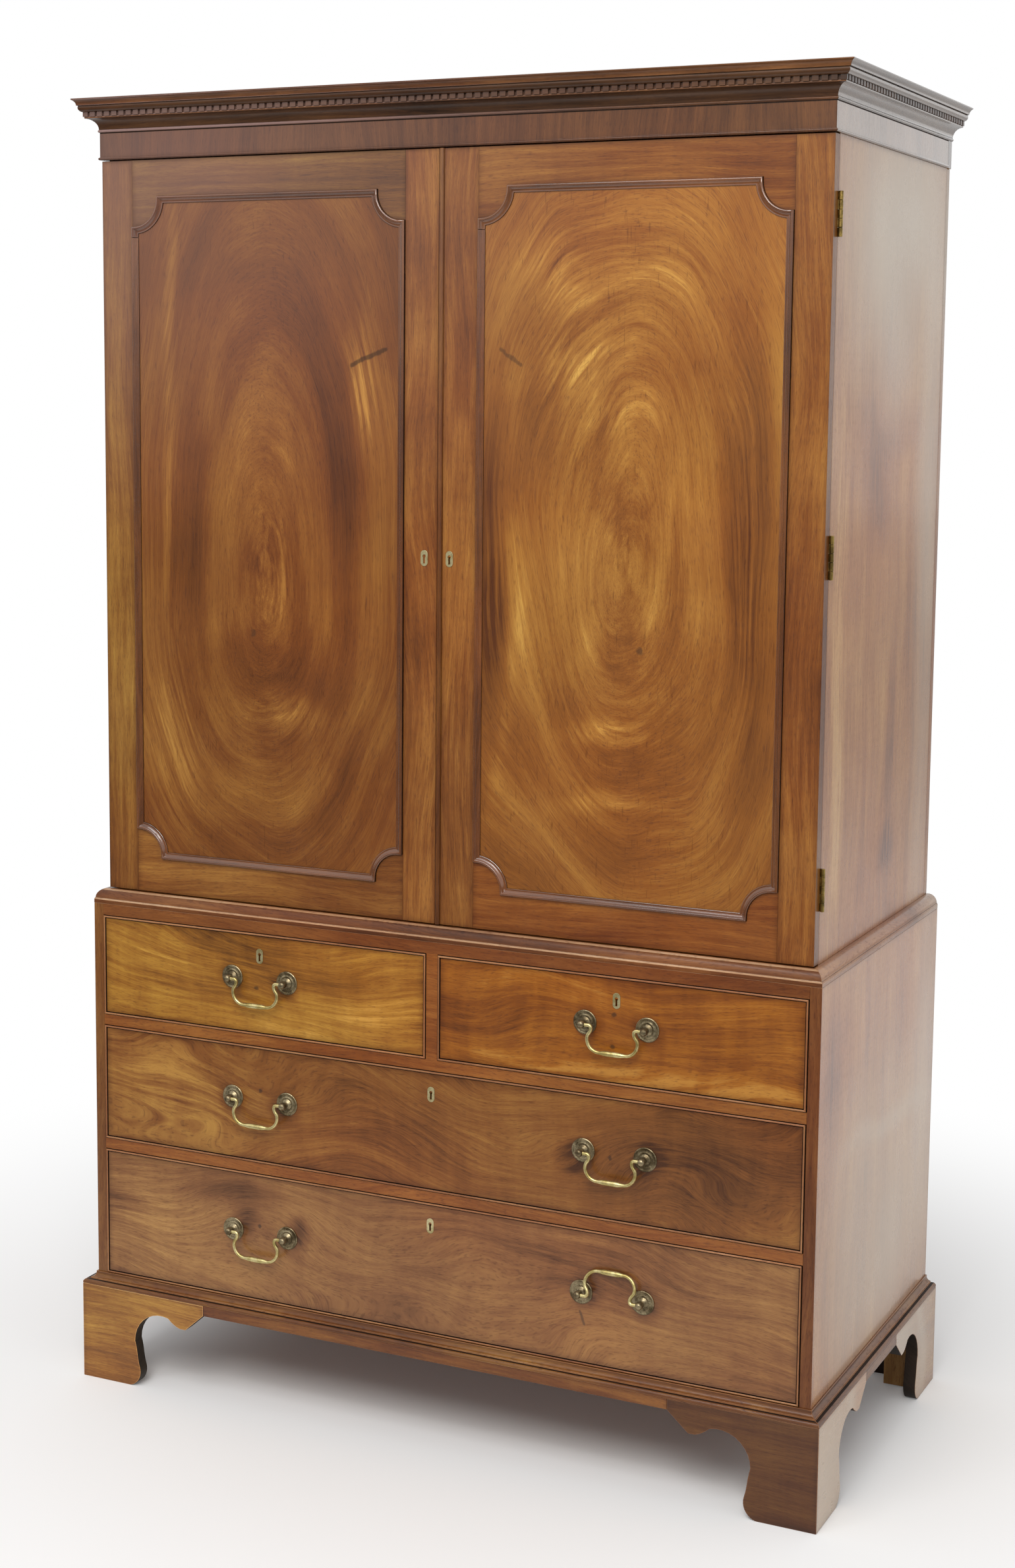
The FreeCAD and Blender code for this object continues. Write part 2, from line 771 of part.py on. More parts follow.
# ---- keyhole plates ----
def key_plate(x_middle, z_middle, face):
    """A brass plate with round ends on a face, with a keyhole through it."""
    y_low = face - plate_thickness
    radius = plate_width / 2
    straight = Z * (plate_height / 2 - radius)
    middle = Vector(x_middle, y_low, z_middle)
    sides = 2 * plate_end_sides
    upper_end = ring(middle + straight, X * radius, Z * radius, sides)[:plate_end_sides]
    lower_end = ring(middle - straight, X * radius, Z * radius, sides)[plate_end_sides:]
    plate = prism(upper_end + lower_end, Y * plate_thickness)
    key_top = ring(middle + Z * keyhole_lift, X * keyhole_radius, Z * keyhole_radius, post_hole_sides)
    half = keyhole_slot / 2
    slot = box(x_middle - half, x_middle + half, y_low, face, z_middle - keyhole_drop, z_middle + keyhole_lift)
    return plate.cut(prism(key_top, Y * plate_thickness).fuse(slot)).removeSplitter().Solids[0]


def key_slot(x_middle, z_middle, face, depth):
    """The slot through the wood behind a plate's keyhole."""
    return box(x_middle - keyhole_slot / 2, x_middle + keyhole_slot / 2, face - overcut, face + depth,
               z_middle - keyhole_drop, z_middle + keyhole_lift)


# ---- drawers ----
def mitred_strip(section, corners, through):
    """One strip of a mitred frame in an upright plane: a bar cut to the trapezium of its corners."""
    y_low = section.BoundBox.YMin - overcut
    y_high = section.BoundBox.YMax + overcut
    return section.extrude(through).common(front_prism(corners, y_low, y_high)).Solids[0]


def bead_section(x, z, inwards):
    """A strip on edge with a softened nose, standing a little proud of the drawer front."""
    nose = cock_bead_width / 4
    pen = Pen(Vector(x, 0, z), inwards, Y, (0, cock_bead_depth))
    pen.line(0, nose - cock_bead_proud)
    pen.line(nose, -cock_bead_proud)
    pen.line(cock_bead_width - nose, -cock_bead_proud)
    pen.line(cock_bead_width, nose - cock_bead_proud)
    pen.line(cock_bead_width, cock_bead_depth)
    return pen.face()


def cock_beads(x_low, x_high, z_low, z_high):
    """Four mitred beads round a drawer front."""
    bead = cock_bead_width
    outer = [(x_low, z_low), (x_high, z_low), (x_high, z_high), (x_low, z_high)]
    inner = [(x_low + bead, z_low + bead), (x_high - bead, z_low + bead),
             (x_high - bead, z_high - bead), (x_low + bead, z_high - bead)]
    wide = X * (x_high - x_low)
    tall = Z * (z_high - z_low)
    below = [outer[0], outer[1], inner[1], inner[0]]
    right = [outer[1], outer[2], inner[2], inner[1]]
    above = [outer[2], outer[3], inner[3], inner[2]]
    left = [outer[3], outer[0], inner[0], inner[3]]
    return [
        mitred_strip(bead_section(x_low, z_low, Z), below, wide),
        mitred_strip(bead_section(x_high, z_low, X * -1), right, tall),
        mitred_strip(bead_section(x_low, z_high, Z * -1), above, wide),
        mitred_strip(bead_section(x_low, z_low, X), left, tall),
    ]


def post(x, z, side):
    """A rosette and its post in one, with the square shank and the nut that holds it.

    side is 1 where the bail lies towards +X, or -1.
    """
    body_start = pivot_reach - post_half_length
    body_end = pivot_reach + post_half_length
    profile = [
        (rosette_radius, 0), (rosette_radius, rosette_rim), (rosette_dish_radius, rosette_dish),
        (collar_radius, rosette_rim), (post_neck_radius, post_neck_reach),
        (post_radius, body_start), (post_radius, body_end), (post_cap_radius, body_end + post_cap),
    ]
    half = shank / 2
    turning = lathed(Vector(x, 0, z), Y * -1, X, profile, turned_sides)
    bolt = box(x - half, x + half, 0, front_thickness, z - half, z + half)
    half = nut / 2
    end = box(x - half, x + half, front_thickness, front_thickness + nut_thickness, z - half, z + half)
    hole_length = bail_pin_depth + bail_pin_end_gap
    hole_end = x + side * (post_radius - hole_length)
    reach = (bail_wire + bail_pin_gap) / math.cos(math.pi / post_hole_sides)
    hole = prism(ring(Vector(hole_end, -pivot_reach, z), Y * reach, Z * reach, post_hole_sides),
                 X * side * (hole_length + overcut))
    return turning.fuse(bolt).fuse(end).cut(hole).removeSplitter().Solids[0]


def bail(x_middle, z, raised):
    """A swan-necked bail with a swelling grip, hanging, or raised and leaning on the front."""
    place = Vector(x_middle, -pivot_reach, z)
    pin_end = post_pitch / 2 - post_radius + bail_pin_depth
    neck_turn = bail_neck + bail_turn
    middle = ((bail_neck + bail_waist) / 2, -(bail_turn + bail_waist_drop) / 2)
    foot = bail_waist - bail_shoulder
    pen = Pen(place, X, Z, (neck_turn, 0), bail_arc_count)
    pen.bend((-1, 0), (bail_neck, -bail_turn))
    pen.smooth(middle)
    pen.smooth((bail_waist, -bail_waist_drop))
    pen.smooth((foot, -bail_drop))
    half = [place + X * pin_end, place + X * neck_turn] + pen.corners()
    half += [place + Vector(grip_half, 0, -bail_drop), place + Vector(grip_half / 2, 0, -bail_drop)]
    radii = [bail_wire] * (len(half) - 1) + [grip_radius]
    other = [Vector(2 * x_middle - point.x, point.y, point.z) for point in reversed(half)]
    whole = flat_bar(half + other, radii + radii[::-1], bail_sides)
    if raised:
        return turned(whole, place, X, -180 - bail_lean)
    return whole


def drawer_lock(x_middle, z_top):
    """A lock let into the back of the front: a case that is open upwards, round its bolt."""
    y_high = front_thickness
    y_low = y_high - lock_depth
    half = lock_width / 2
    case = box(x_middle - half, x_middle + half, y_low, y_high, z_top - lock_height, z_top)
    half_bolt = lock_bolt_width / 2 + slide_gap
    bolt_low = y_low + lock_wall
    channel = box(x_middle - half_bolt, x_middle + half_bolt, bolt_low, bolt_low + lock_bolt_depth + 2 * slide_gap,
                  z_top - lock_bolt_height - slide_gap, z_top + overcut)
    return case.cut(channel).Solids[0]


def drawer_lock_bolt(x_middle, z_top):
    """The lock's bolt, drawn down level with the top of the front."""
    half = lock_bolt_width / 2
    y_low = front_thickness - lock_depth + lock_wall + slide_gap
    return box(x_middle - half, x_middle + half, y_low, y_low + lock_bolt_depth,
               z_top - lock_bolt_height, z_top)


def drawer(name, x_low, x_high, z_low, z_high, key_x, handles):
    """One drawer in its opening. handles is a list of (x, name, raised)."""
    left = x_low + drawer_gap
    right = x_high - drawer_gap
    low = z_low + drawer_gap
    top = z_high - drawer_gap
    inset = cock_bead_width
    handle_z = (z_low + z_high) / 2 + handle_lift
    key_z = z_high - key_drop
    body = box(left, right, cock_bead_depth, front_thickness, low, top)
    face = box(left + inset, right - inset, 0, cock_bead_depth, low + inset, top - inset)
    front = body.fuse(face).removeSplitter()
    front = front.cut(key_slot(key_x, key_z, 0, front_thickness))
    half_lock = lock_width / 2
    front = front.cut(box(key_x - half_lock, key_x + half_lock, front_thickness - lock_depth,
                          front_thickness + overcut, top - lock_height, top + overcut))
    brasses = [key_plate(key_x, key_z, 0), drawer_lock(key_x, top)]
    half_hole = shank / 2 + shank_gap
    for x_middle, handle_name, raised in handles:
        for side in (-1, 1):
            x = x_middle + side * post_pitch / 2
            front = front.cut(box(x - half_hole, x + half_hole, 0, front_thickness,
                                  handle_z - half_hole, handle_z + half_hole))
            brasses.append(post(x, handle_z, -side))
        nodes[handle_name] = [bail(x_middle, handle_z, raised)]
    nodes[name + "_front"] = front.Solids + cock_beads(left, right, low, top)
    nodes[name + "_brasses"] = brasses
    nodes[name + "_lock_bolt"] = [drawer_lock_bolt(key_x, top)]
    side_top = top - drawer_side_drop
    bottom_low = low + drawer_bottom_lift
    bottom_high = bottom_low + drawer_bottom
    rear = chest_rear - drawer_rear_gap
    sides = [
        box(left, left + drawer_side, front_thickness, rear, low, side_top),
        box(right - drawer_side, right, front_thickness, rear, low, side_top),
        box(left + drawer_side, right - drawer_side, rear - drawer_side, rear, bottom_high, side_top),
    ]
    bottom = box(left + drawer_side, right - drawer_side, front_thickness, rear, bottom_low, bottom_high)
    nodes[name + "_box"] = sides + [bottom]


half_muntin = muntin_width / 2
drawer("top_left_drawer", -half_inside, -half_muntin, top_opening, top_opening_top, -handle_middle,
       [(-handle_middle, "top_left_bail", False)])
drawer("top_right_drawer", half_muntin, half_inside, top_opening, top_opening_top, handle_middle,
       [(handle_middle, "top_right_bail", False)])
drawer("middle_drawer", -half_inside, half_inside, middle_opening, middle_opening_top, 0,
       [(-handle_middle, "middle_left_bail", False), (handle_middle, "middle_right_bail", False)])
drawer("bottom_drawer", -half_inside, half_inside, floor_top, bottom_opening_top, 0,
       [(-handle_middle, "bottom_left_bail", False), (handle_middle, "bottom_right_bail", True)])


# ---- doors ----
panel_front = door_front + panel_recess
frame_margin = moulding_margin - moulding_width / 2
opening_bottom = door_bottom + frame_margin
opening_top = door_top - frame_margin


def door_frame(x_low, x_high):
    """Two stiles and two rails. Each rail ends in ears that fill the swept corners."""
    panel_low = x_low + frame_margin
    panel_high = x_high - frame_margin
    stiles = [
        box(x_low, panel_low, door_front, door_back, door_bottom, door_top),
        box(panel_high, x_high, door_front, door_back, door_bottom, door_top),
    ]
    lower = box(panel_low, panel_high, door_front, door_back, door_bottom, opening_bottom)
    upper = box(panel_low, panel_high, door_front, door_back, opening_top, door_top)
    corners = [(panel_low, opening_top), (panel_high, opening_top),
               (panel_high, opening_bottom), (panel_low, opening_bottom)]
    ears = []
    for corner, sweep in zip(corners, swept_corners(x_low, x_high)):
        edge = [(section[0].x, section[0].z) for section in sweep]
        ears.append(front_prism([corner] + edge, door_front, door_back))
    upper = upper.fuse(ears[0]).fuse(ears[1])
    lower = lower.fuse(ears[2]).fuse(ears[3])
    groove = panel_slab(x_low, x_high)
    return [piece.cut(groove).removeSplitter().Solids[0] for piece in stiles + [lower, upper]]


def panel_slab(x_low, x_high):
    """The flat panel, whose edges run into grooves in the frame."""
    inset = frame_margin - panel_tongue
    return box(x_low + inset, x_high - inset, panel_front, panel_front + panel_thickness,
               door_bottom + inset, door_top - inset)


def moulding_section():
    """How far across and how proud each corner of the moulding's section is, from the frame side inwards."""
    half = moulding_width / 2
    proud = moulding_proud + panel_recess
    ease = moulding_round * (1 - math.sqrt(0.5))
    return [
        (-half, 0),
        (-half, proud - moulding_round),
        (ease - half, proud - ease),
        (moulding_round - half, proud),
        (half - moulding_fillet, proud * moulding_step),
        (half, proud * moulding_step - moulding_fillet / 2),
        (half, 0),
    ]


def swept_corners(x_low, x_high):
    """The moulding's section at each point of a panel's four swept corners, clockwise from the top left."""
    left = x_low + moulding_margin
    right = x_high - moulding_margin
    low = door_bottom + moulding_margin
    top = door_top - moulding_margin
    path = []
    quarter = math.pi / 2
    for turns, (x, z) in enumerate(((left, top), (right, top), (right, low), (left, low))):
        for step in range(sweep_count + 1):
            angle = quarter * (step / sweep_count - turns - 1)
            path.append(Vector(x + corner_sweep * math.cos(angle), panel_front, z + corner_sweep * math.sin(angle)))
    sections = []
    for before, point, after in zip(path[-1:] + path, path, path[1:] + path[:1]):
        heading = (after - point).normalize()
        along = ((point - before).normalize() + heading).normalize()
        across = Y.cross(along) / along.dot(heading)
        sections.append([point + across * reach - Y * proud for reach, proud in moulding_section()])
    points = sweep_count + 1
    return [sections[start:start + points] for start in range(0, 4 * points, points)]


def door_moulding(x_low, x_high):
    """The moulding planted round a panel: four swept-in corners and four straight runs, mitred together."""
    sweeps = swept_corners(x_low, x_high)
    runs = [[sweep[-1], following[0]] for sweep, following in zip(sweeps, sweeps[1:] + sweeps[:1])]
    return [skinned(piece) for piece in sweeps + runs]


def hinge_recesses(piece):
    """A right-hand stile with its hinge leaves let into the back."""
    for level in hinge_levels:
        low = level - hinge_length / 2
        piece = piece.cut(box(half_cupboard - hinge_leaf, half_cupboard + overcut, door_back - hinge_metal,
                              door_back + overcut, low, low + hinge_length))
    return piece


bolt_front = door_back - lock_depth + lock_wall
bolt_back = bolt_front + lock_bolt_depth
half_bolt = lock_bolt_width / 2
left_key_x = left_door_edge - left_key_inset
right_key_x = right_door_edge + right_key_inset

left_frame = door_frame(-half_cupboard, left_door_edge)
left_frame[0] = mirrored([hinge_recesses(mirrored([left_frame[0]])[0])])[0]
strike = box(left_door_edge - lock_throw - mortise_gap, left_door_edge + overcut, bolt_front - mortise_gap,
             bolt_back + mortise_gap, key_level - half_bolt - mortise_gap, key_level + half_bolt + mortise_gap)
left_frame[1] = left_frame[1].cut(strike)
nodes["left_door_frame"] = left_frame
nodes["left_door_panel"] = [panel_slab(-half_cupboard, left_door_edge)]
nodes["left_door_moulding"] = door_moulding(-half_cupboard, left_door_edge)

right_frame = door_frame(right_door_edge, half_cupboard)
right_frame[1] = hinge_recesses(right_frame[1])
lock_case = box(right_door_edge, right_door_edge + door_lock_width, door_back - lock_depth, door_back,
                key_level - door_lock_height / 2, key_level + door_lock_height / 2)
right_frame[0] = right_frame[0].cut(lock_case)
right_frame[0] = right_frame[0].cut(key_slot(right_key_x, key_level, door_front, door_thickness - lock_depth))
nodes["right_door_frame"] = right_frame
nodes["right_door_panel"] = [panel_slab(right_door_edge, half_cupboard)]
nodes["right_door_moulding"] = door_moulding(right_door_edge, half_cupboard)

bolt_tip = slide_gap - bead_width / 2
bolt_tail = bolt_tip + lock_bolt_height
channel = box(-half_cupboard, bolt_tail + slide_gap, bolt_front - slide_gap, bolt_back + slide_gap,
              key_level - half_bolt - slide_gap, key_level + half_bolt + slide_gap)
nodes["right_door_brasses"] = [lock_case.cut(channel).Solids[0], key_plate(right_key_x, key_level, door_front)]
nodes["right_door_lock_bolt"] = [box(bolt_tip, bolt_tail, bolt_front, bolt_back,
                                     key_level - half_bolt, key_level + half_bolt)]


def meeting_bead():
    """The round-nosed strip on the right door's meeting edge, with a slot for the lock's bolt."""
    half = bead_width / 2
    nose = door_front - bead_proud + half
    pen = Pen(Vector(0, 0, door_bottom), X, Y, (-half, door_back))
    pen.line(-half, nose)
    pen.arc((0, nose - half), (half, nose))
    pen.line(half, door_back)
    return pen.face().extrude(Z * (door_top - door_bottom)).cut(channel).Solids[0]


nodes["meeting_bead"] = [meeting_bead()]


def shoot_bolt_plate(tip, inwards):
    """A backplate and two staples for a bolt. inwards is 1 where the door lies above the tip, or -1."""
    start = tip + inwards * shoot_plate_setback
    end = start + inwards * shoot_plate_length
    half = shoot_plate_width / 2
    plate = box(shoot_x - half, shoot_x + half, door_back, door_back + shoot_plate, *sorted((start, end)))
    half = staple_width / 2
    half_bore = shoot_bolt / 2 + shoot_bolt_clearance
    staple_back = shoot_y + half_bore + staple_wall
    for near in (start + inwards * staple_inset, end - inwards * (staple_inset + staple_length)):
        span = sorted((near, near + inwards * staple_length))
        plate = plate.fuse(box(shoot_x - half, shoot_x + half, door_back + shoot_plate, staple_back, *span))
    bore = box(shoot_x - half_bore, shoot_x + half_bore, door_back + shoot_plate, shoot_y + half_bore,
               *sorted((start, end)))
    return plate.cut(bore).removeSplitter().Solids[0]


def square_bolt(tip, inwards):
    """A square bolt with a knob between its staples."""
    half = shoot_bolt / 2
    bar = box(shoot_x - half, shoot_x + half, shoot_y - half, shoot_y + half,
              *sorted((tip, tip + inwards * shoot_bolt_length)))
    knob_level = tip + inwards * (shoot_plate_setback + shoot_plate_length / 2)
    knob_centre = Vector(shoot_x, shoot_y, knob_level)
    knob = prism(ring(knob_centre, X * knob_radius, Z * knob_radius, turned_sides), Y * (half + knob_length))
    return bar.fuse(knob).removeSplitter().Solids[0]


top_tip = cupboard_ceiling - shoot_bolt_end_gap
bottom_tip = cupboard_floor_top + shoot_bolt_end_gap
nodes["left_door_brasses"] = [
    key_plate(left_key_x, key_level, door_front),
    shoot_bolt_plate(top_tip, -1),
    shoot_bolt_plate(bottom_tip, 1),
]
nodes["left_door_top_bolt"] = [square_bolt(top_tip, -1)]
nodes["left_door_bottom_bolt"] = [square_bolt(bottom_tip, 1)]


# ---- sliding trays ----
def tray(level):
    """An open tray: shaped sides, a lower front with a dip for the hands, a back and a bottom."""
    low = level + tray_lift
    half = half_cupboard_inside - tray_gap
    half_front = half - tray_side
    rise = tray_side_height - tray_front_height
    pen = Pen(Vector(half_front, tray_front, low), Y, Z, (0, 0))
    pen.line(tray_rear - tray_front, 0)
    pen.line(tray_rear - tray_front, tray_side_height)
    pen.line(tray_side + rise, tray_side_height)
    pen.line(tray_side, tray_front_height)
    pen.line(0, tray_front_height)
    side = pen.face().extrude(X * tray_side)
    pen = Pen(Vector(0, tray_front, low), X, Z, (-half_front, 0))
    pen.line(half_front, 0)
    pen.line(half_front, tray_front_height)
    for step in range(tray_dip_count + 1):
        share = 1 - 2 * step / tray_dip_count
        pen.line(tray_dip_half * share, tray_front_height - tray_dip * (1 - share ** 2))
    pen.line(-half_front, tray_front_height)
    front = pen.face().extrude(Y * tray_side)
    back = box(-half_front, half_front, tray_rear - tray_side, tray_rear, low, low + tray_side_height)
    floor = box(-half_front, half_front, tray_front + tray_side, tray_rear - tray_side, low, low + tray_floor)
    return [side, mirrored([side])[0], front, back, floor]


for step, level in enumerate(tray_levels):
    nodes["tray_" + str(step + 1)] = tray(level)


def save(node, solids):
    """Write one node, moved so that the origin is at the middle of the overall box."""
    moved = [solid.translated(Y * -middle_depth) for solid in solids]
    shape = moved[0] if len(moved) == 1 else Part.makeCompound(moved)
    shape.exportStep("parts/" + node + ".step")


os.makedirs("parts", exist_ok=True)
for node, solids in nodes.items():
    save(node, solids)
    if not all(solid.isValid() for solid in solids):
        print(node, "has a solid that is not valid")
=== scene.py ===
"""A mahogany linen press on bracket feet: two panelled doors over a chest of four drawers.

Sizes are in millimetres in the maker's frame, where X = 0 is the middle, Y = 0 is the front face of the
chest and Z = 0 is the floor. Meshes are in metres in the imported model's frame.
"""

import logging
import math
from collections.abc import Callable, Sequence
from dataclasses import dataclass, field, replace
from enum import Enum, IntEnum
from functools import cached_property

import bmesh
import bpy
from mathutils import Matrix, Vector


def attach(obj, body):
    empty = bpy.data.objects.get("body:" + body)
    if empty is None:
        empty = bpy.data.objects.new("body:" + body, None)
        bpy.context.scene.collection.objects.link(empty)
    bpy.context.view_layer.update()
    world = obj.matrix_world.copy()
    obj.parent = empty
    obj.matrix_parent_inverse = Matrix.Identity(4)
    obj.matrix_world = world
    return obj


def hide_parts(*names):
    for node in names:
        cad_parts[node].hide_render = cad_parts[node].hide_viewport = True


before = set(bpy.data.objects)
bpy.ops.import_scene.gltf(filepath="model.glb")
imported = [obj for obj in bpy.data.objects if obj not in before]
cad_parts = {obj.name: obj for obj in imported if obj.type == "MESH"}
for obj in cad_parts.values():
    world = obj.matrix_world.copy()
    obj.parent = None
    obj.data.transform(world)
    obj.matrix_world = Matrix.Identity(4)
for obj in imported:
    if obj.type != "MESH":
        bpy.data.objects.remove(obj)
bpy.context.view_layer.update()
logging.basicConfig(level=logging.INFO, format="%(message)s")
log = logging.getLogger("linen_press")

MILLIMETRE = 0.001
MIDDLE_DEPTH = 292.5
X_AXIS = Vector((1.0, 0.0, 0.0))
Y_AXIS = Vector((0.0, 1.0, 0.0))
Z_AXIS = Vector((0.0, 0.0, 1.0))

Piece = bpy.types.Object
Spot = tuple[float, float, float]
Flat = tuple[float, float]
Colour = Spot


def spot(x: float, y: float, z: float) -> Vector:
    """Give a point of the maker's frame in the model's metres."""
    return Vector((x, y - MIDDLE_DEPTH, z)) * MILLIMETRE


def linear(code: str) -> Colour:
    """Turn a colour as it looks on a screen into the shader's linear numbers.

    Args:
        code: Six hexadecimal digits, red first.

    Returns:
        The linear red, green and blue.
    """
    shares = [int(code[start:start + 2], 16) / 255 for start in (0, 2, 4)]
    return tuple(s / 12.92 if s < 0.04045 else ((s + 0.055) / 1.055) ** 2.4 for s in shares)


# ---- the bench: how pieces are shaped ----
class Outline:
    """A flat outline in millimetres, drawn from lines and arcs that each start where the last one ended."""

    def __init__(self, across: float, up: float, arc_steps: int = 8) -> None:
        """Start the outline.

        Args:
            across: Where it starts, across.
            up: Where it starts, up.
            arc_steps: How many straight steps an arc is drawn with.
        """
        self.spots: list[Flat] = [(across, up)]
        self.arc_steps = arc_steps
        self.heading = (1.0, 0.0)

    def line(self, across: float, up: float) -> "Outline":
        """Draw a straight line to a spot and return the outline."""
        self.spots.append((across, up))
        return self

    def bend(self, heading: Flat, across: float, up: float) -> "Outline":
        """Draw an arc that leaves along a heading.

        Args:
            heading: The direction in which the arc leaves.
            across: Where it ends, across.
            up: Where it ends, up.

        Returns:
            The outline.
        """
        start = Vector(self.spots[-1])
        run = Vector((across, up)) - start
        normal = Vector((-heading[1], heading[0])).normalized()
        radius = run.length_squared / (2 * run.dot(normal))
        centre = start + normal * radius
        first = math.atan2(*(start - centre).yx)
        last = math.atan2(*(Vector((across, up)) - centre).yx)
        turn = (last - first) % math.tau if radius > 0 else -((first - last) % math.tau)
        for step in range(1, self.arc_steps + 1):
            angle = first + turn * step / self.arc_steps
            self.spots.append((centre.x + abs(radius) * math.cos(angle), centre.y + abs(radius) * math.sin(angle)))
        side = 1 if radius > 0 else -1
        self.heading = (-math.sin(last) * side, math.cos(last) * side)
        return self

    def smooth(self, across: float, up: float) -> "Outline":
        """Draw an arc that carries on from the last one's heading and return the outline."""
        return self.bend(self.heading, across, up)


def put_down() -> None:
    """Leave edit mode and deselect everything."""
    if bpy.context.object and bpy.context.object.mode != "OBJECT":
        bpy.ops.object.mode_set(mode="OBJECT")
    bpy.ops.object.select_all(action="DESELECT")


def pick_up(*pieces: Piece) -> None:
    """Select only these pieces.

    Args:
        pieces: The pieces, of which the first becomes the active one.
    """
    put_down()
    for piece in pieces:
        piece.select_set(True)
    bpy.context.view_layer.objects.active = pieces[0]


def edit_all(piece: Piece) -> None:
    """Open a piece in edit mode with all of it selected.

    Args:
        piece: The piece.
    """
    pick_up(piece)
    bpy.ops.object.mode_set(mode="EDIT")
    bpy.ops.mesh.select_all(action="SELECT")


def close_edit() -> None:
    """Turn the faces outwards and leave edit mode."""
    bpy.ops.mesh.select_all(action="SELECT")
    bpy.ops.mesh.normals_make_consistent(inside=False)
    bpy.ops.object.mode_set(mode="OBJECT")


def block(low: Spot, high: Spot) -> Piece:
    """Start a board or block between two corners.

    Args:
        low: Its lowest corner.
        high: Its highest corner.

    Returns:
        The block, with its place in its mesh.
    """
    put_down()
    first, last = spot(*low), spot(*high)
    bpy.ops.mesh.primitive_cube_add(size=1, location=(first + last) / 2, scale=last - first)
    bpy.ops.object.transform_apply(location=True, rotation=True, scale=True)
    return bpy.context.active_object


def drawn(spots: Sequence[Flat], place: Vector, across: Vector, up: Vector, run: Vector) -> Piece:
    """Draw a flat outline out into a prism.

    Args:
        spots: The outline's corners, in millimetres.
        place: Where the outline's zero is, in metres.
        across: The outline's first direction.
        up: The outline's second direction.
        run: How far it is drawn, in metres.

    Returns:
        The prism.
    """
    put_down()
    bpy.ops.mesh.primitive_circle_add(vertices=len(spots), radius=1, fill_type="NGON")
    piece = bpy.context.active_object
    for corner, (first, second) in zip(piece.data.vertices, spots):
        corner.co = place + (across * first + up * second) * MILLIMETRE
    edit_all(piece)
    bpy.ops.mesh.extrude_region_move(TRANSFORM_OT_translate={"value": run})
    close_edit()
    return piece


def sawn(piece: Piece, place: Vector, normal: Vector) -> Piece:
    """Saw off all of a piece that lies beyond a plane.

    Args:
        piece: The piece.
        place: A point on the plane.
        normal: The direction in which it is sawn off.

    Returns:
        The same piece.
    """
    edit_all(piece)
    bpy.ops.mesh.bisect(plane_co=place, plane_no=normal, use_fill=True, clear_outer=True)
    close_edit()
    return piece


def eased(piece: Piece, width: float, segments: int = 2, sharper_than: float = 35, worn: bool = False) -> Piece:
    """Round a piece's sharp edges.

    Args:
        piece: The piece.
        width: How wide the rounding is, in millimetres.
        segments: How many faces it has.
        sharper_than: The least angle, in degrees, of an edge that is rounded.
        worn: Whether the edges are marked 1, for the second finish that the piece is dressed in.

    Returns:
        The same piece.
    """
    pick_up(piece)
    bevel = piece.modifiers.new("ease", "BEVEL")
    if worn:
        piece.data.materials.append(None)
        piece.data.materials.append(None)
        bevel.material = 1
    bevel.width = width * MILLIMETRE
    bevel.segments = segments
    bevel.limit_method = "ANGLE"
    bevel.angle_limit = math.radians(sharper_than)
    bpy.ops.object.modifier_apply(modifier=bevel.name)
    return piece


def carved(piece: Piece, *cutters: Piece) -> Piece:
    """Cut other pieces' shapes out of a piece.

    Args:
        piece: The piece.
        cutters: The other pieces, which are used up.

    Returns:
        The same piece.
    """
    for cutter in cutters:
        pick_up(piece)
        cut = piece.modifiers.new("carve", "BOOLEAN")
        cut.operation = "DIFFERENCE"
        cut.solver = "EXACT"
        cut.object = cutter
        bpy.ops.object.modifier_apply(modifier=cut.name)
        bpy.data.objects.remove(cutter)
    return piece


def spun(profile: Sequence[Flat], place: Vector, along: Vector, outwards: Vector, steps: int) -> Piece:
    """Turn a profile round an axis, as on a lathe.

    Args:
        profile: Radius and reach along the axis of each corner, in millimetres.
        place: Where the axis starts.
        along: The axis's direction.
        outwards: A direction square to the axis.
        steps: How many steps go round.

    Returns:
        The turned piece, closed at its poles.
    """
    put_down()
    bpy.ops.mesh.primitive_circle_add(vertices=len(profile), radius=1, fill_type="NOTHING")
    piece = bpy.context.active_object
    for corner, (radius, reach) in zip(piece.data.vertices, profile):
        corner.co = place + (along * reach + outwards * radius) * MILLIMETRE
    pick_up(piece)
    bpy.ops.object.mode_set(mode="EDIT")
    bpy.ops.mesh.select_all(action="DESELECT")
    mesh = bmesh.from_edit_mesh(piece.data)
    mesh.verts.ensure_lookup_table()
    closing = mesh.edges.get((mesh.verts[0], mesh.verts[-1]))
    closing.select_set(True)
    bmesh.update_edit_mesh(piece.data)
    bpy.ops.mesh.delete(type="EDGE_FACE")
    bpy.ops.mesh.select_all(action="SELECT")
    bpy.ops.mesh.spin(steps=steps, angle=math.tau, center=place, axis=along)
    bpy.ops.mesh.select_all(action="SELECT")
    bpy.ops.mesh.remove_doubles(threshold=1e-6)
    close_edit()
    return piece


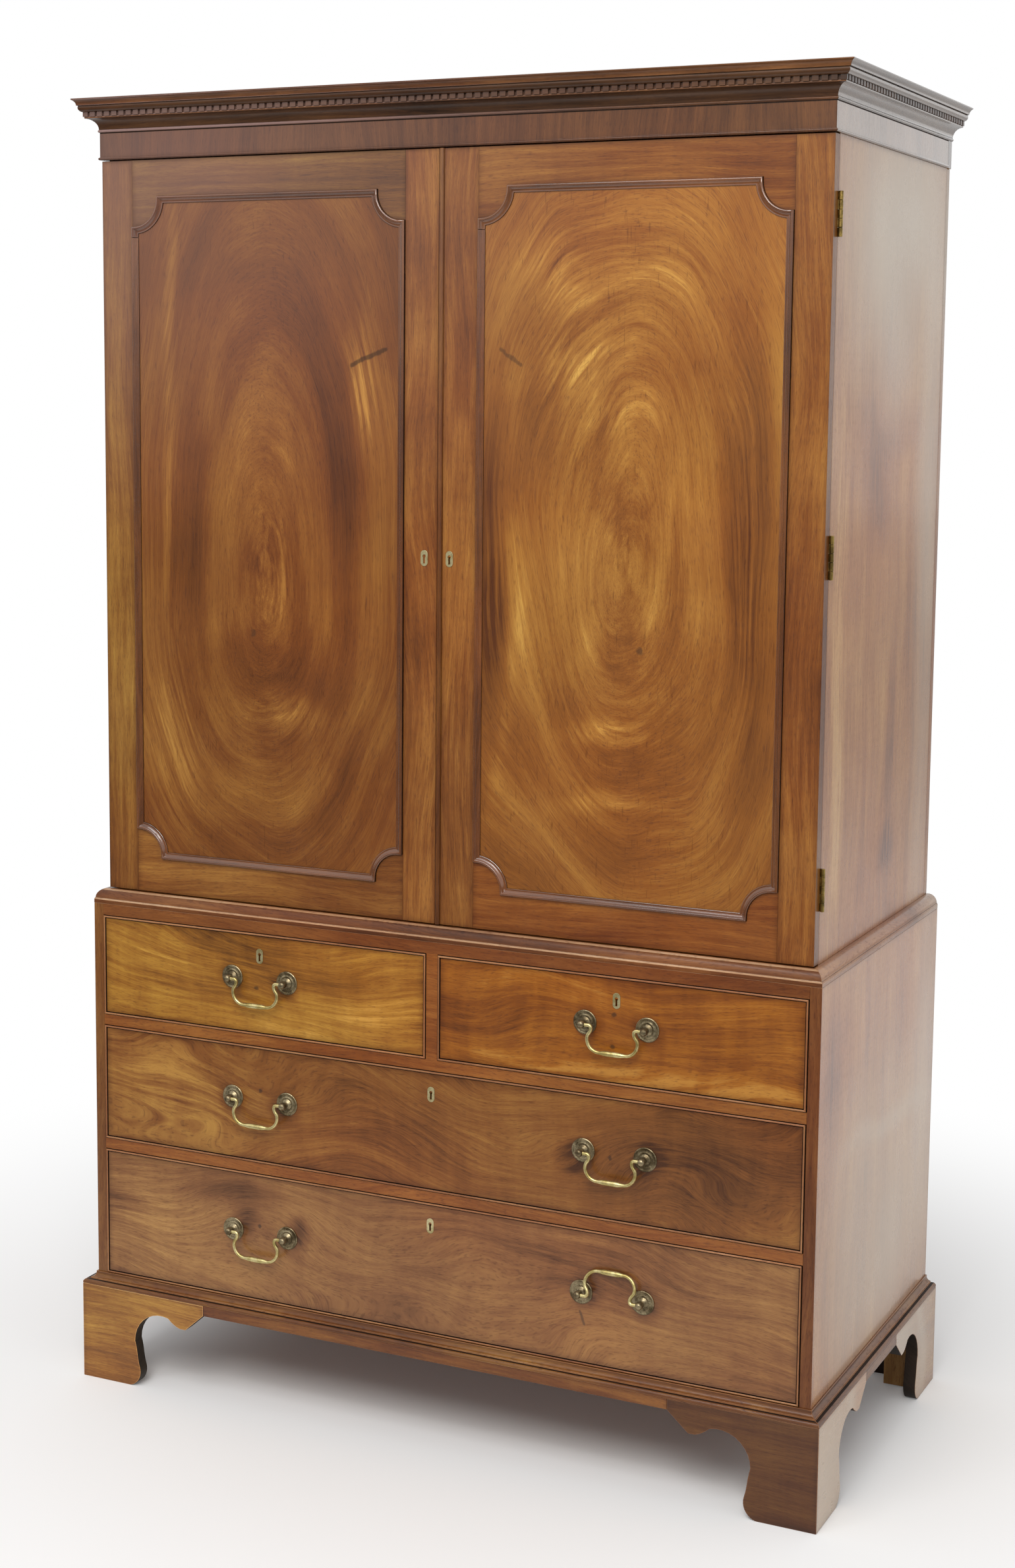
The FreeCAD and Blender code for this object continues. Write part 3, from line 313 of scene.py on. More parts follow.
def swept(section: Sequence[Flat], frames: Sequence[Matrix], closed: bool) -> Piece:
    """Carry a section along a path, one extrusion for each step.

    Args:
        section: The section's corners, in millimetres.
        frames: The section's place and directions at each step of the path.
        closed: Whether the path ends where it starts.

    Returns:
        The swept piece.
    """
    put_down()
    bpy.ops.mesh.primitive_circle_add(vertices=len(section), radius=1, fill_type="NOTHING" if closed else "NGON")
    piece = bpy.context.active_object
    for corner, (first, second) in zip(piece.data.vertices, section):
        corner.co = frames[0] @ (Vector((first, second, 0)) * MILLIMETRE)
    edit_all(piece)
    for before, after in zip(frames, frames[1:]):
        bpy.ops.mesh.extrude_region_move()
        step = after @ before.inverted()
        mesh = bmesh.from_edit_mesh(piece.data)
        for corner in mesh.verts:
            if corner.select:
                corner.co = step @ corner.co
        bmesh.update_edit_mesh(piece.data)
    if closed:
        mesh = bmesh.from_edit_mesh(piece.data)
        mesh.verts.ensure_lookup_table()
        count = len(section)
        ends = set(mesh.verts[:count]) | set(mesh.verts[-count:])
        for edge in mesh.edges:
            edge.select_set(set(edge.verts) <= ends and len(edge.link_faces) == 1)
        bmesh.update_edit_mesh(piece.data)
        bpy.ops.mesh.bridge_edge_loops()
    close_edit()
    return piece


def circle(radius: float, steps: int) -> list[Flat]:
    """Give the corners of a circle, in millimetres."""
    return [(radius * math.cos(step * math.tau / steps), radius * math.sin(step * math.tau / steps))
            for step in range(steps)]


def path_frame(point: Vector, across: Vector, second: Vector, along: Vector) -> Matrix:
    """Give a section's place and directions at one step of a path."""
    return Matrix.Translation(point) @ Matrix((across, second, along)).transposed().to_4x4()


def lay_along(piece: Piece, section: Sequence[Flat], frames: Sequence[Matrix], seed: float) -> Piece:
    """Write on a swept piece's mesh a grain that follows its path.

    Args:
        piece: The piece that was swept.
        section: The section that it was swept with.
        frames: The path that it was swept along.
        seed: What sets its grain apart.

    Returns:
        The same piece.
    """
    girths = [0.0]
    for (x, y), (next_x, next_y) in zip(section, section[1:]):
        girths.append(girths[-1] + math.dist((x, y), (next_x, next_y)) * MILLIMETRE)
    reach = 0.0
    places: list[float] = []
    for step, here in enumerate(frames):
        if step:
            reach += (here.translation - frames[step - 1].translation).length
        for girth in girths:
            places += (reach, girth - girths[-1] / 2, 0.0)
    count = len(piece.data.vertices)
    notes = {"grain": places, "board": (reach * 2, girths[-1] / 2, seed) * count, "tint": (1.0, 0.0, 0.0) * count}
    for name, numbers in notes.items():
        piece.data.attributes.new(name, "FLOAT_VECTOR", "POINT").data.foreach_set("vector", numbers)
    return piece


def smoothed(piece: Piece, degrees: float = 35) -> Piece:
    """Shade a piece smooth, while its large faces stay flat.

    Args:
        piece: The piece.
        degrees: The least angle of an edge that stays sharp.

    Returns:
        The same piece.
    """
    pick_up(piece)
    bpy.ops.object.shade_smooth_by_angle(angle=math.radians(degrees))
    weighted = piece.modifiers.new("flat_faces", "WEIGHTED_NORMAL")
    weighted.keep_sharp = True
    bpy.ops.object.modifier_apply(modifier=weighted.name)
    return piece


def joined(pieces: Sequence[Piece]) -> Piece:
    """Make several pieces one object.

    Args:
        pieces: The pieces, which are used up.

    Returns:
        The object.
    """
    pick_up(*pieces)
    if len(pieces) > 1:
        bpy.ops.object.join()
    return bpy.context.active_object


def copied(piece: Piece, change: Matrix) -> Piece:
    """Copy a piece with its own mesh, moved, turned or mirrored.

    Args:
        piece: The piece.
        change: The matrix that its mesh goes through.

    Returns:
        The copy.
    """
    copy = piece.copy()
    copy.data = piece.data.copy()
    bpy.context.collection.objects.link(copy)
    copy.data.transform(change)
    if change.determinant() < 0:
        copy.data.flip_normals()
    return copy


def mirror_image(piece: Piece) -> Piece:
    """Copy a piece to the other side of the middle."""
    return copied(piece, Matrix.Scale(-1, 4, X_AXIS))


# ---- the paint: how shaders are written ----
class Value:
    """A number that varies over a surface. Arithmetic on it adds Math nodes."""

    def __init__(self, paint: "Paint", socket: bpy.types.NodeSocket) -> None:
        """Wrap a socket of a paint's nodes."""
        self.paint = paint
        self.socket = socket

    def maths(self, operation: str, *others: "Value | float", clamp: bool = False) -> "Value":
        """Put this value and others through a Math node.

        Args:
            operation: The node's operation.
            others: Its second and third values.
            clamp: Whether the result is kept from 0 to 1.

        Returns:
            The result.
        """
        return self.paint.maths(operation, self, *others, clamp=clamp)

    def __add__(self, other: "Value | float") -> "Value":
        """Add."""
        return self.maths("ADD", other)

    __radd__ = __add__

    def __mul__(self, other: "Value | float") -> "Value":
        """Multiply."""
        return self.maths("MULTIPLY", other)

    __rmul__ = __mul__

    def __sub__(self, other: "Value | float") -> "Value":
        """Subtract."""
        return self.maths("SUBTRACT", other)

    def __rsub__(self, other: float) -> "Value":
        """Subtract this from a number."""
        return self.paint.maths("SUBTRACT", other, self)

    def __truediv__(self, other: "Value | float") -> "Value":
        """Divide."""
        return self.maths("DIVIDE", other)

    def __pow__(self, other: float) -> "Value":
        """Raise to a power."""
        return self.maths("POWER", other)

    def __abs__(self) -> "Value":
        """Give the size without the sign."""
        return self.maths("ABSOLUTE")

    def least(self, other: "Value | float") -> "Value":
        """Give the smaller of two."""
        return self.maths("MINIMUM", other)

    def most(self, other: "Value | float") -> "Value":
        """Give the larger of two."""
        return self.maths("MAXIMUM", other)

    def fade(self, low: float, high: float) -> "Value":
        """Go smoothly from 0 to 1.

        Args:
            low: Where it is 0.
            high: Where it is 1, which may be the smaller number.

        Returns:
            The faded number.
        """
        node = self.paint.node("ShaderNodeMapRange", {"interpolation_type": "SMOOTHSTEP"},
                               {"Value": self, "From Min": low, "From Max": high})
        return Value(self.paint, node.outputs["Result"])


class Paint:
    """The nodes of one material, or of the world."""

    def __init__(self, name: str, holder: bpy.types.Material | bpy.types.World | None = None) -> None:
        """Start with no nodes.

        Args:
            name: The material's name.
            holder: What holds the nodes, where it isn't a new material.
        """
        self.material = holder or bpy.data.materials.new(name)
        self.material.use_nodes = True
        self.tree = self.material.node_tree
        self.tree.nodes.clear()

    def node(self, kind: str, settings: dict[str, object] | None = None,
             sockets: dict[str | int, object] | None = None) -> bpy.types.Node:
        """Add a node.

        Args:
            kind: The node's type.
            settings: Its settings, such as a Math node's operation.
            sockets: The value or link of each of its sockets.

        Returns:
            The node.
        """
        made = self.tree.nodes.new(kind)
        for name, setting in (settings or {}).items():
            setattr(made, name, setting)
        for name, given in (sockets or {}).items():
            socket = made.inputs[name]
            if isinstance(given, Value):
                given = given.socket
            if isinstance(given, bpy.types.NodeSocket):
                self.tree.links.new(given, socket)
            elif isinstance(given, tuple) and socket.type == "RGBA":
                socket.default_value = (*given, 1.0)
            else:
                socket.default_value = given
        return made

    def maths(self, operation: str, *values: Value | float, clamp: bool = False) -> Value:
        """Add a Math node on values and numbers and return its result."""
        made = self.node("ShaderNodeMath", {"operation": operation, "use_clamp": clamp}, dict(enumerate(values)))
        return Value(self, made.outputs[0])

    def vector(self, operation: str, first: object, second: object, scale: float | Value | None = None) -> object:
        """Add a Vector Math node.

        Args:
            operation: The node's operation.
            first: Its first vector.
            second: Its second vector, if it takes one.
            scale: The number that it scales by, if it takes one.

        Returns:
            The vector that it gives.
        """
        sockets = {0: first} if second is None else {0: first, 1: second}
        if scale is not None:
            sockets["Scale"] = scale
        return self.node("ShaderNodeVectorMath", {"operation": operation}, sockets).outputs["Vector"]

    def parts(self, vector: object) -> tuple[Value, Value, Value]:
        """Give a vector's three numbers."""
        made = self.node("ShaderNodeSeparateXYZ", None, {0: vector})
        return tuple(Value(self, socket) for socket in made.outputs)

    def built(self, first: Value | float, second: Value | float, third: Value | float) -> object:
        """Make a vector of three numbers."""
        return self.node("ShaderNodeCombineXYZ", None, {0: first, 1: second, 2: third}).outputs[0]

    def noise(self, place: object, scale: float, detail: float = 2.0, roughness: float = 0.5) -> Value:
        """Give a soft noise from 0 to 1, in lumps over a vector, or in bands of even tone over one number.

        Args:
            place: The vector or the number.
            scale: How many lumps or bands there are to the unit.
            detail: How many finer layers it has.
            roughness: How strong the finer layers are.

        Returns:
            The noise.
        """
        dimensions, socket = ("1D", "W") if isinstance(place, Value) else ("3D", "Vector")
        made = self.node("ShaderNodeTexNoise", {"noise_dimensions": dimensions},
                         {socket: place, "Scale": scale, "Detail": detail, "Roughness": roughness})
        return Value(self, made.outputs[0])

    def ramp(self, share: Value, stops: dict[float, Colour]) -> bpy.types.NodeSocket:
        """Give the colour of a ramp.

        Args:
            share: A number from 0 to 1.
            stops: The ramp's colours at their places.

        Returns:
            The colour at that number.
        """
        made = self.node("ShaderNodeValToRGB", None, {0: share})
        elements = made.color_ramp.elements
        while len(elements) < len(stops):
            elements.new(1.0)
        for element, (position, colour) in zip(elements, stops.items()):
            element.position = position
            element.color = (*colour, 1.0)
        return made.outputs["Color"]

    def written(self, name: str) -> bpy.types.NodeSocket:
        """Read a vector that is written on the mesh."""
        return self.node("ShaderNodeAttribute", {"attribute_name": name}).outputs["Vector"]

    def mix(self, share: Value | float, first: object, second: object, blend: str = "MIX") -> bpy.types.NodeSocket:
        """Blend two colours.

        Args:
            share: How much of the second, from 0 to 1.
            first: The first colour or its link.
            second: The second colour or its link.
            blend: How they blend.

        Returns:
            The blended colour.
        """
        made = self.node("ShaderNodeMix", {"data_type": "RGBA", "blend_type": blend}, {0: share, 6: first, 7: second})
        return made.outputs[2]

    def bump(self, height: Value, strength: float, distance: float) -> bpy.types.NodeSocket:
        """Turn a height into a normal. The distance is in metres."""
        made = self.node("ShaderNodeBump", None, {"Strength": strength, "Distance": distance, "Height": height})
        return made.outputs["Normal"]

    def shade(self, **sockets: object) -> bpy.types.Material:
        """Finish the material with a Principled shader.

        Args:
            sockets: Its sockets, with _ for a space.

        Returns:
            The material.
        """
        named = {name.replace("_", " "): given for name, given in sockets.items()}
        shader = self.node("ShaderNodeBsdfPrincipled", None, named)
        self.node("ShaderNodeOutputMaterial", None, {"Surface": shader.outputs[0]})
        return self.material


# ---- finishes ----
class Figure(Enum):
    """The figure that the saw laid bare in a board."""

    STRAIGHT = "straight"
    OVAL = "oval"
    WAVY = "wavy"


class Wear(IntEnum):
    """The faces of a board that are dressed apart from the rest: edges with wear and painted highlights, faces with
    dirt and painted shade, faces with painted shade, and dusty tops.
    """

    RUBBED = 1
    DIRTY = 2
    SHADED = 3
    DUSTY = 4


class Source(Enum):
    """Where a finish reads its place on the wood from."""

    BOARD = "board"
    ALONG_X = "along x"
    ALONG_Y = "along y"
    ALONG_Z = "along z"


@dataclass(frozen=True)
class Grain:
    """How one board is cut: its grain's directions, and how its tone differs from its neighbours'."""

    along: Vector
    across: Vector
    seed: float
    tone: float = 1.0
    warmth: float = 0.0

    def lay(self, piece: Piece) -> Piece:
        """Write the grain on a board's mesh, measured from the board's middle.

        Args:
            piece: The board, whose mesh is final.

        Returns:
            The same board.
        """
        deep = self.along.cross(self.across)
        places = [Vector((v.co.dot(self.along), v.co.dot(self.across), v.co.dot(deep))) for v in piece.data.vertices]
        low = Vector([min(place[axis] for place in places) for axis in range(3)])
        high = Vector([max(place[axis] for place in places) for axis in range(3)])
        middle = (low + high) / 2
        half = (high - low) / 2
        notes = {"grain": [place - middle for place in places],
                 "board": [Vector((half.x, half.y, self.seed))] * len(places),
                 "tint": [Vector((self.tone, self.warmth, half.z))] * len(places)}
        for name, vectors in notes.items():
            note = piece.data.attributes.new(name, "FLOAT_VECTOR", "POINT")
            note.data.foreach_set("vector", [number for vector in vectors for number in vector])
        return piece


@dataclass(frozen=True)
class Mark:
    """A dark mark in the wood: a shake between two points, or a plugged hole where they are the same.

    Places are in millimetres from the board's middle, along and across the grain.
    """

    start: Flat
    end: Flat
    width: float
    depth: float


@dataclass(frozen=True)
class Patch:
    """A soft patch that is paler or darker than the wood round it.

    Its middle and reach are in millimetres, along and across the grain, and its turn is in degrees.
    """

    middle: Flat
    reach: Flat
    lift: float
    turn: float = 0.0

    def inside(self, paint: Paint, place: object) -> Value:
        """Say how far inside the patch each place is.

        Args:
            paint: The material's nodes.
            place: The place along, across and into the wood.

        Returns:
            1 at the patch's middle, falling softly to 0 past its edge.
        """
        settings = {"Vector": place, "Location": tuple(v * MILLIMETRE for v in (*self.middle, 0)),
                    "Rotation": (0, 0, math.radians(self.turn)),
                    "Scale": tuple(v * MILLIMETRE for v in (*self.reach, 1e6))}
        own = paint.node("ShaderNodeMapping", {"vector_type": "TEXTURE"}, settings).outputs[0]
        away = paint.node("ShaderNodeVectorMath", {"operation": "LENGTH"}, {0: own}).outputs[1]
        return Value(paint, away).fade(1.4, 0.0)


@dataclass(frozen=True)
class Wood:
    """A wood with its figure and polish, and its four colours from dark to golden."""

    name: str
    colours: str
    figure: Figure = Figure.STRAIGHT
    source: Source = Source.BOARD
    middle: Flat = (0.0, 0.0)
    stretch: Flat = (1.0, 1.0)
    warp: float = 0.02
    lobes: float = 1.5
    lines: float = 0.7
    cloud: float = 0.9
    mottle: float = 0.15
    contrast: float = 0.85
    pores: float = 0.45
    specks: float = 0.5
    # How dark the board's edges are, and how far in: dirt, and painted shade where boards meet.
    edge_dirt_and_shade: float = 0.4
    edge_dark_reach: float = 16.0
    polish: float = 0.22
    gloss: float = 0.34
    roughness: float = 0.32
    patches: tuple[Patch, ...] = ()
    marks: tuple[Mark, ...] = ()
    # The pale grey-beige that the pale patches go to: partly faded wood, partly painted reflection.
    bleached_sheen: str = "c6b7a2"
    # How strong the painted sheen is: a pale grey veil towards the upper left, standing in for reflected light.
    painted_sheen: float = 0.34
    # Pale patches, partly faded wood and partly painted reflection.
    fading_and_sheen: tuple[Patch, ...] = ()

    def place(self, paint: Paint) -> tuple[object, Value | float, Value | float, Value | float, Value | None]:
        """Read the place on the wood.

        Args:
            paint: The material's nodes.

        Returns:
            The vector along, across and into the wood, the seed, tone and warmth, and how near an edge is.
        """
        if self.source is Source.BOARD:
            grain = paint.written("grain")
            half_long, half_wide, seed = paint.parts(paint.written("board"))
            tone, warmth, _ = paint.parts(paint.written("tint"))
            along, across, _ = paint.parts(grain)
            edge = (half_long - abs(along)).least(half_wide - abs(across))
            return grain, seed, tone, warmth, edge
        turn = {Source.ALONG_X: (0, 0, 0), Source.ALONG_Y: (0, 0, -math.pi / 2), Source.ALONG_Z: (0, math.pi / 2, 0)}
        object_place = paint.node("ShaderNodeTexCoord").outputs["Object"]
        grain = paint.node("ShaderNodeMapping", {"vector_type": "POINT"},
                           {"Vector": object_place, "Rotation": turn[self.source]}).outputs[0]
        return grain, 0.37, 1.0, 0.0, None

    def flow(self, paint: Paint, grain: object, warp: Value) -> tuple[Value, object]:
        """Follow the growth rings.

        Args:
            paint: The material's nodes.
            grain: The place along, across and into the wood.
            warp: How far the rings stray, in metres.

        Returns:
            The distance across the rings, and a vector of that and the distances along them.
        """
        along, across, deep = paint.parts(grain)
        if self.figure is Figure.OVAL:
            first = along - self.middle[0] * MILLIMETRE
            first = first.most(0.0) ** 1.15 * self.stretch[0] - (first * -1).most(0.0) ** 1.15 * self.stretch[1]
            second = across - self.middle[1] * MILLIMETRE
            radius = (first * first + second * second + 0.00002).maths("SQRT")
            rings = radius + warp
            return rings, paint.built(rings, first / radius * 0.25, second / radius * 0.25)
        if self.figure is Figure.WAVY:
            rings = across * 0.8 + deep * 0.5 + warp * 1.8
            return rings, paint.built(rings, along, deep)
        rings = across + deep * 0.6 + warp
        return rings, paint.built(rings, along, deep)

    def tone_of(self, paint: Paint, flow: object, rings: Value, strayed: object, shift: object) -> tuple[Value, Value]:
        """Work out how light the wood is at each place.

        Args:
            paint: The material's nodes.
            flow: The vector across and along the rings.
            rings: The distance across the rings.
            strayed: The place on the wood, strayed a little.
            shift: What sets this board apart from others.

        Returns:
            The tone from 0, dark, to 1, golden, and how deep the fibres lie.
        """
        own = paint.vector("ADD", flow, shift)

        def layer(across: float, along: float, detail: float = 3.0, roughness: float = 0.55) -> Value:
            """Give a layer of streaks, so many to the metre across and along the rings."""
            return paint.noise(paint.vector("MULTIPLY", own, (across, along, along)), 1.0, detail, roughness) - 0.5

        broad = layer(17.0, 2.6, 2.0, 0.5)
        even = paint.noise(rings + 3.1, 30.0, 3.0, 0.6) - 0.5
        lines = layer(190.0, 8.0)
        fibres = layer(720.0, 26.0, 4.0, 0.65)
        cloud = paint.noise(paint.vector("ADD", strayed, shift), 3.4, 3.0, 0.55) - 0.5
        mottle = paint.noise(paint.vector("MULTIPLY", strayed, (34.0, 7.0, 7.0)), 1.0, 2.0, 0.5) - 0.5
        tone = (broad * self.lobes + even * 0.3 + lines * self.lines + fibres * 0.6 + cloud * self.cloud
                + mottle * self.mottle)
        for patch in self.patches:
            tone = tone + patch.inside(paint, strayed) * patch.lift * (broad * 2.0 + lines * 3.0 + 0.7)
        return tone * self.contrast + 0.5, fibres

    def material(self) -> bpy.types.Material:
        """Make the wood's material.

        Returns:
            The material.
        """
        paint = Paint(self.name)
        grain, seed, tone, warmth, edge = self.place(paint)
        shift = paint.built(seed * 3.7, seed * 1.9, seed * 2.3) if isinstance(seed, Value) else (1.4, 0.7, 0.9)
        moved = paint.vector("ADD", grain, shift)
        stray = paint.noise(paint.vector("MULTIPLY", moved, (2.2, 4.5, 4.5)), 1.0, 1.5, 0.45) - 0.5
        rings, flow = self.flow(paint, grain, stray * (self.warp * 4))
        strayed = paint.vector("ADD", grain, paint.built(stray * 0.12, stray * 0.08, 0.0))
        share, fibres = self.tone_of(paint, flow, rings, strayed, shift)
        share = share.maths("MINIMUM", 1.0, clamp=True)
        colour = paint.ramp(share, dict(zip((0.05, 0.42, 0.68, 0.97), map(linear, self.colours.split()))))
        dashes = paint.vector("MULTIPLY", paint.vector("ADD", flow, shift), (1300.0, 95.0, 95.0))
        flecks = paint.noise(dashes, 1.0, 1.0, 0.5).fade(0.55, 0.70)
        colour = paint.mix(flecks * self.pores, colour, (0.42, 0.32, 0.26), "MULTIPLY")
        specks = paint.noise(paint.vector("MULTIPLY", moved, (42.0, 330.0, 330.0)), 1.0, 2.0, 0.6).fade(0.60, 0.74)
        colour = paint.mix(specks * self.specks, colour, (0.45, 0.36, 0.30), "MULTIPLY")
        smoke = paint.noise(moved, 2.6, 1.0, 0.5)
        rosy = smoke.fade(0.40, 0.68)
        colour = paint.mix(rosy * 0.45, colour, (1.0, 0.78, 0.66), "MULTIPLY")
        if isinstance(tone, Value):
            colour = paint.mix(warmth.most(0.0), colour, (1.0, 0.66, 0.48), "MULTIPLY")
            colour = paint.mix((warmth * -1).most(0.0), colour, (0.86, 1.06, 0.98), "MULTIPLY")
            colour = paint.vector("SCALE", colour, None, tone)
        # Pale patches: partly faded wood, partly painted reflection.
        for patch in self.fading_and_sheen:
            share = patch.inside(paint, strayed) * (smoke * 1.2 + 0.4) * patch.lift
            colour = paint.mix(share.least(1.0), colour, linear(self.bleached_sheen))
        # Painted sheen: towards the upper left and the top the colour is veiled with pale grey, standing in for the
        # reflection of the studio on the polish.
        if self.painted_sheen:
            left, _, high = paint.parts(paint.node("ShaderNodeTexCoord").outputs["Object"])
            sheen_veil = left.fade(0.45, -0.75) * high.fade(1.3, 1.95) * (smoke * 0.6 + 0.7)
            colour = paint.mix(sheen_veil * self.painted_sheen, colour, linear("937873"))
        # Darker towards the board's edges, out to a wavering reach: dirt, and painted shade where the board meets other
        # parts.
        if edge is not None:
            reach = self.edge_dark_reach * MILLIMETRE
            worn = paint.noise(moved, 22.0, 3.0, 0.6) * reach + reach / 8
            dirt = (1 - (edge / worn).least(1.0).most(0.0)) ** 1.6
            colour = paint.mix(dirt * self.edge_dirt_and_shade, colour, (0.30, 0.20, 0.14), "MULTIPLY")
        along, across, _ = paint.parts(grain)
        for mark in self.marks:
            colour = paint.mix(self.spotted(paint, along, across, moved, mark), colour, (0.035, 0.018, 0.010))
        smear = paint.noise(moved, 9.0, 3.0, 0.6)
        rough = smear * 0.16 + (self.roughness - 0.08) + flecks * 0.12
        return paint.shade(Base_Color=colour, Roughness=rough, Specular_IOR_Level=self.gloss,
                           Normal=paint.bump(fibres * 0.6 - flecks * 0.5, 0.10, 0.0005),
                           Coat_Weight=self.polish, Coat_Roughness=0.12)

    @staticmethod
    def spotted(paint: Paint, along: Value, across: Value, moved: object, mark: Mark) -> Value:
        """Say how much of a mark is at each place.

        Args:
            paint: The material's nodes.
            along: The place along the grain.
            across: The place across the grain.
            moved: The place, moved by the board's seed.
            mark: The mark.

        Returns:
            How much of it shows, from 0 to 1.
        """
        ax, ay = (number * MILLIMETRE for number in mark.start)
        run = ((mark.end[0] - mark.start[0]) * MILLIMETRE, (mark.end[1] - mark.start[1]) * MILLIMETRE)
        size = max(run[0] ** 2 + run[1] ** 2, 1e-9)
        wander = (paint.noise(moved, 60.0, 3.0, 0.6) - 0.5) * (mark.width * 2 * MILLIMETRE)
        first = along - ax + wander
        second = across - ay + wander * 0.7
        share = ((first * run[0] + second * run[1]) / size).most(0.0).least(1.0)
        left = first - share * run[0]
        right = second - share * run[1]
        distance = (left * left + right * right).maths("SQRT")
        return distance.fade(mark.width * MILLIMETRE, mark.width * 0.35 * MILLIMETRE) * mark.depth


@dataclass(frozen=True)
class Brass:
    """Old brass: bright where hands rub it, brown and green where they don't."""

    name: str
    bright: str
    dull: str
    dirt: str
    tarnish: float = 0.5
    roughness: float = 0.30

    def material(self) -> bpy.types.Material:
        """Make the brass's material.

        Returns:
            The material.
        """
        paint = Paint(self.name)
        place = paint.node("ShaderNodeTexCoord").outputs["Object"]
        patches = paint.noise(place, 55.0, 3.0, 0.6)
        specks = paint.noise(place, 420.0, 3.0, 0.6)
        colour = paint.mix(patches.fade(0.40, 0.64), linear(self.bright), linear(self.dull))
        colour = paint.mix(specks.fade(0.50, 0.74) * self.tarnish, colour, linear(self.dirt))
        rough = patches * 0.22 + (self.roughness - 0.06)
        return paint.shade(Base_Color=colour, Metallic=0.9, Roughness=rough,
                           Normal=paint.bump(specks * 0.5 + patches, 0.06, 0.0003))


def rosette_halos_and_shade(*middles: float) -> tuple[Patch, ...]:
    """Darken the wood round a drawer's rosettes: dirt where the polishing cloth never reached, and painted shade round
    the brasses.
    """
    return tuple(Patch((middle + side * 49.5, 6), (27, 27), -0.7) for middle in middles for side in (-1, 1))


DRAWER_WOOD = Wood("drawer_mahogany", "48270f 784a1c 916228 ae803b", figure=Figure.WAVY, warp=0.02, lobes=0.9,
                   cloud=0.7, mottle=0.3, contrast=0.88, polish=0.2, gloss=0.3, edge_dirt_and_shade=0.55, edge_dark_reach=22)


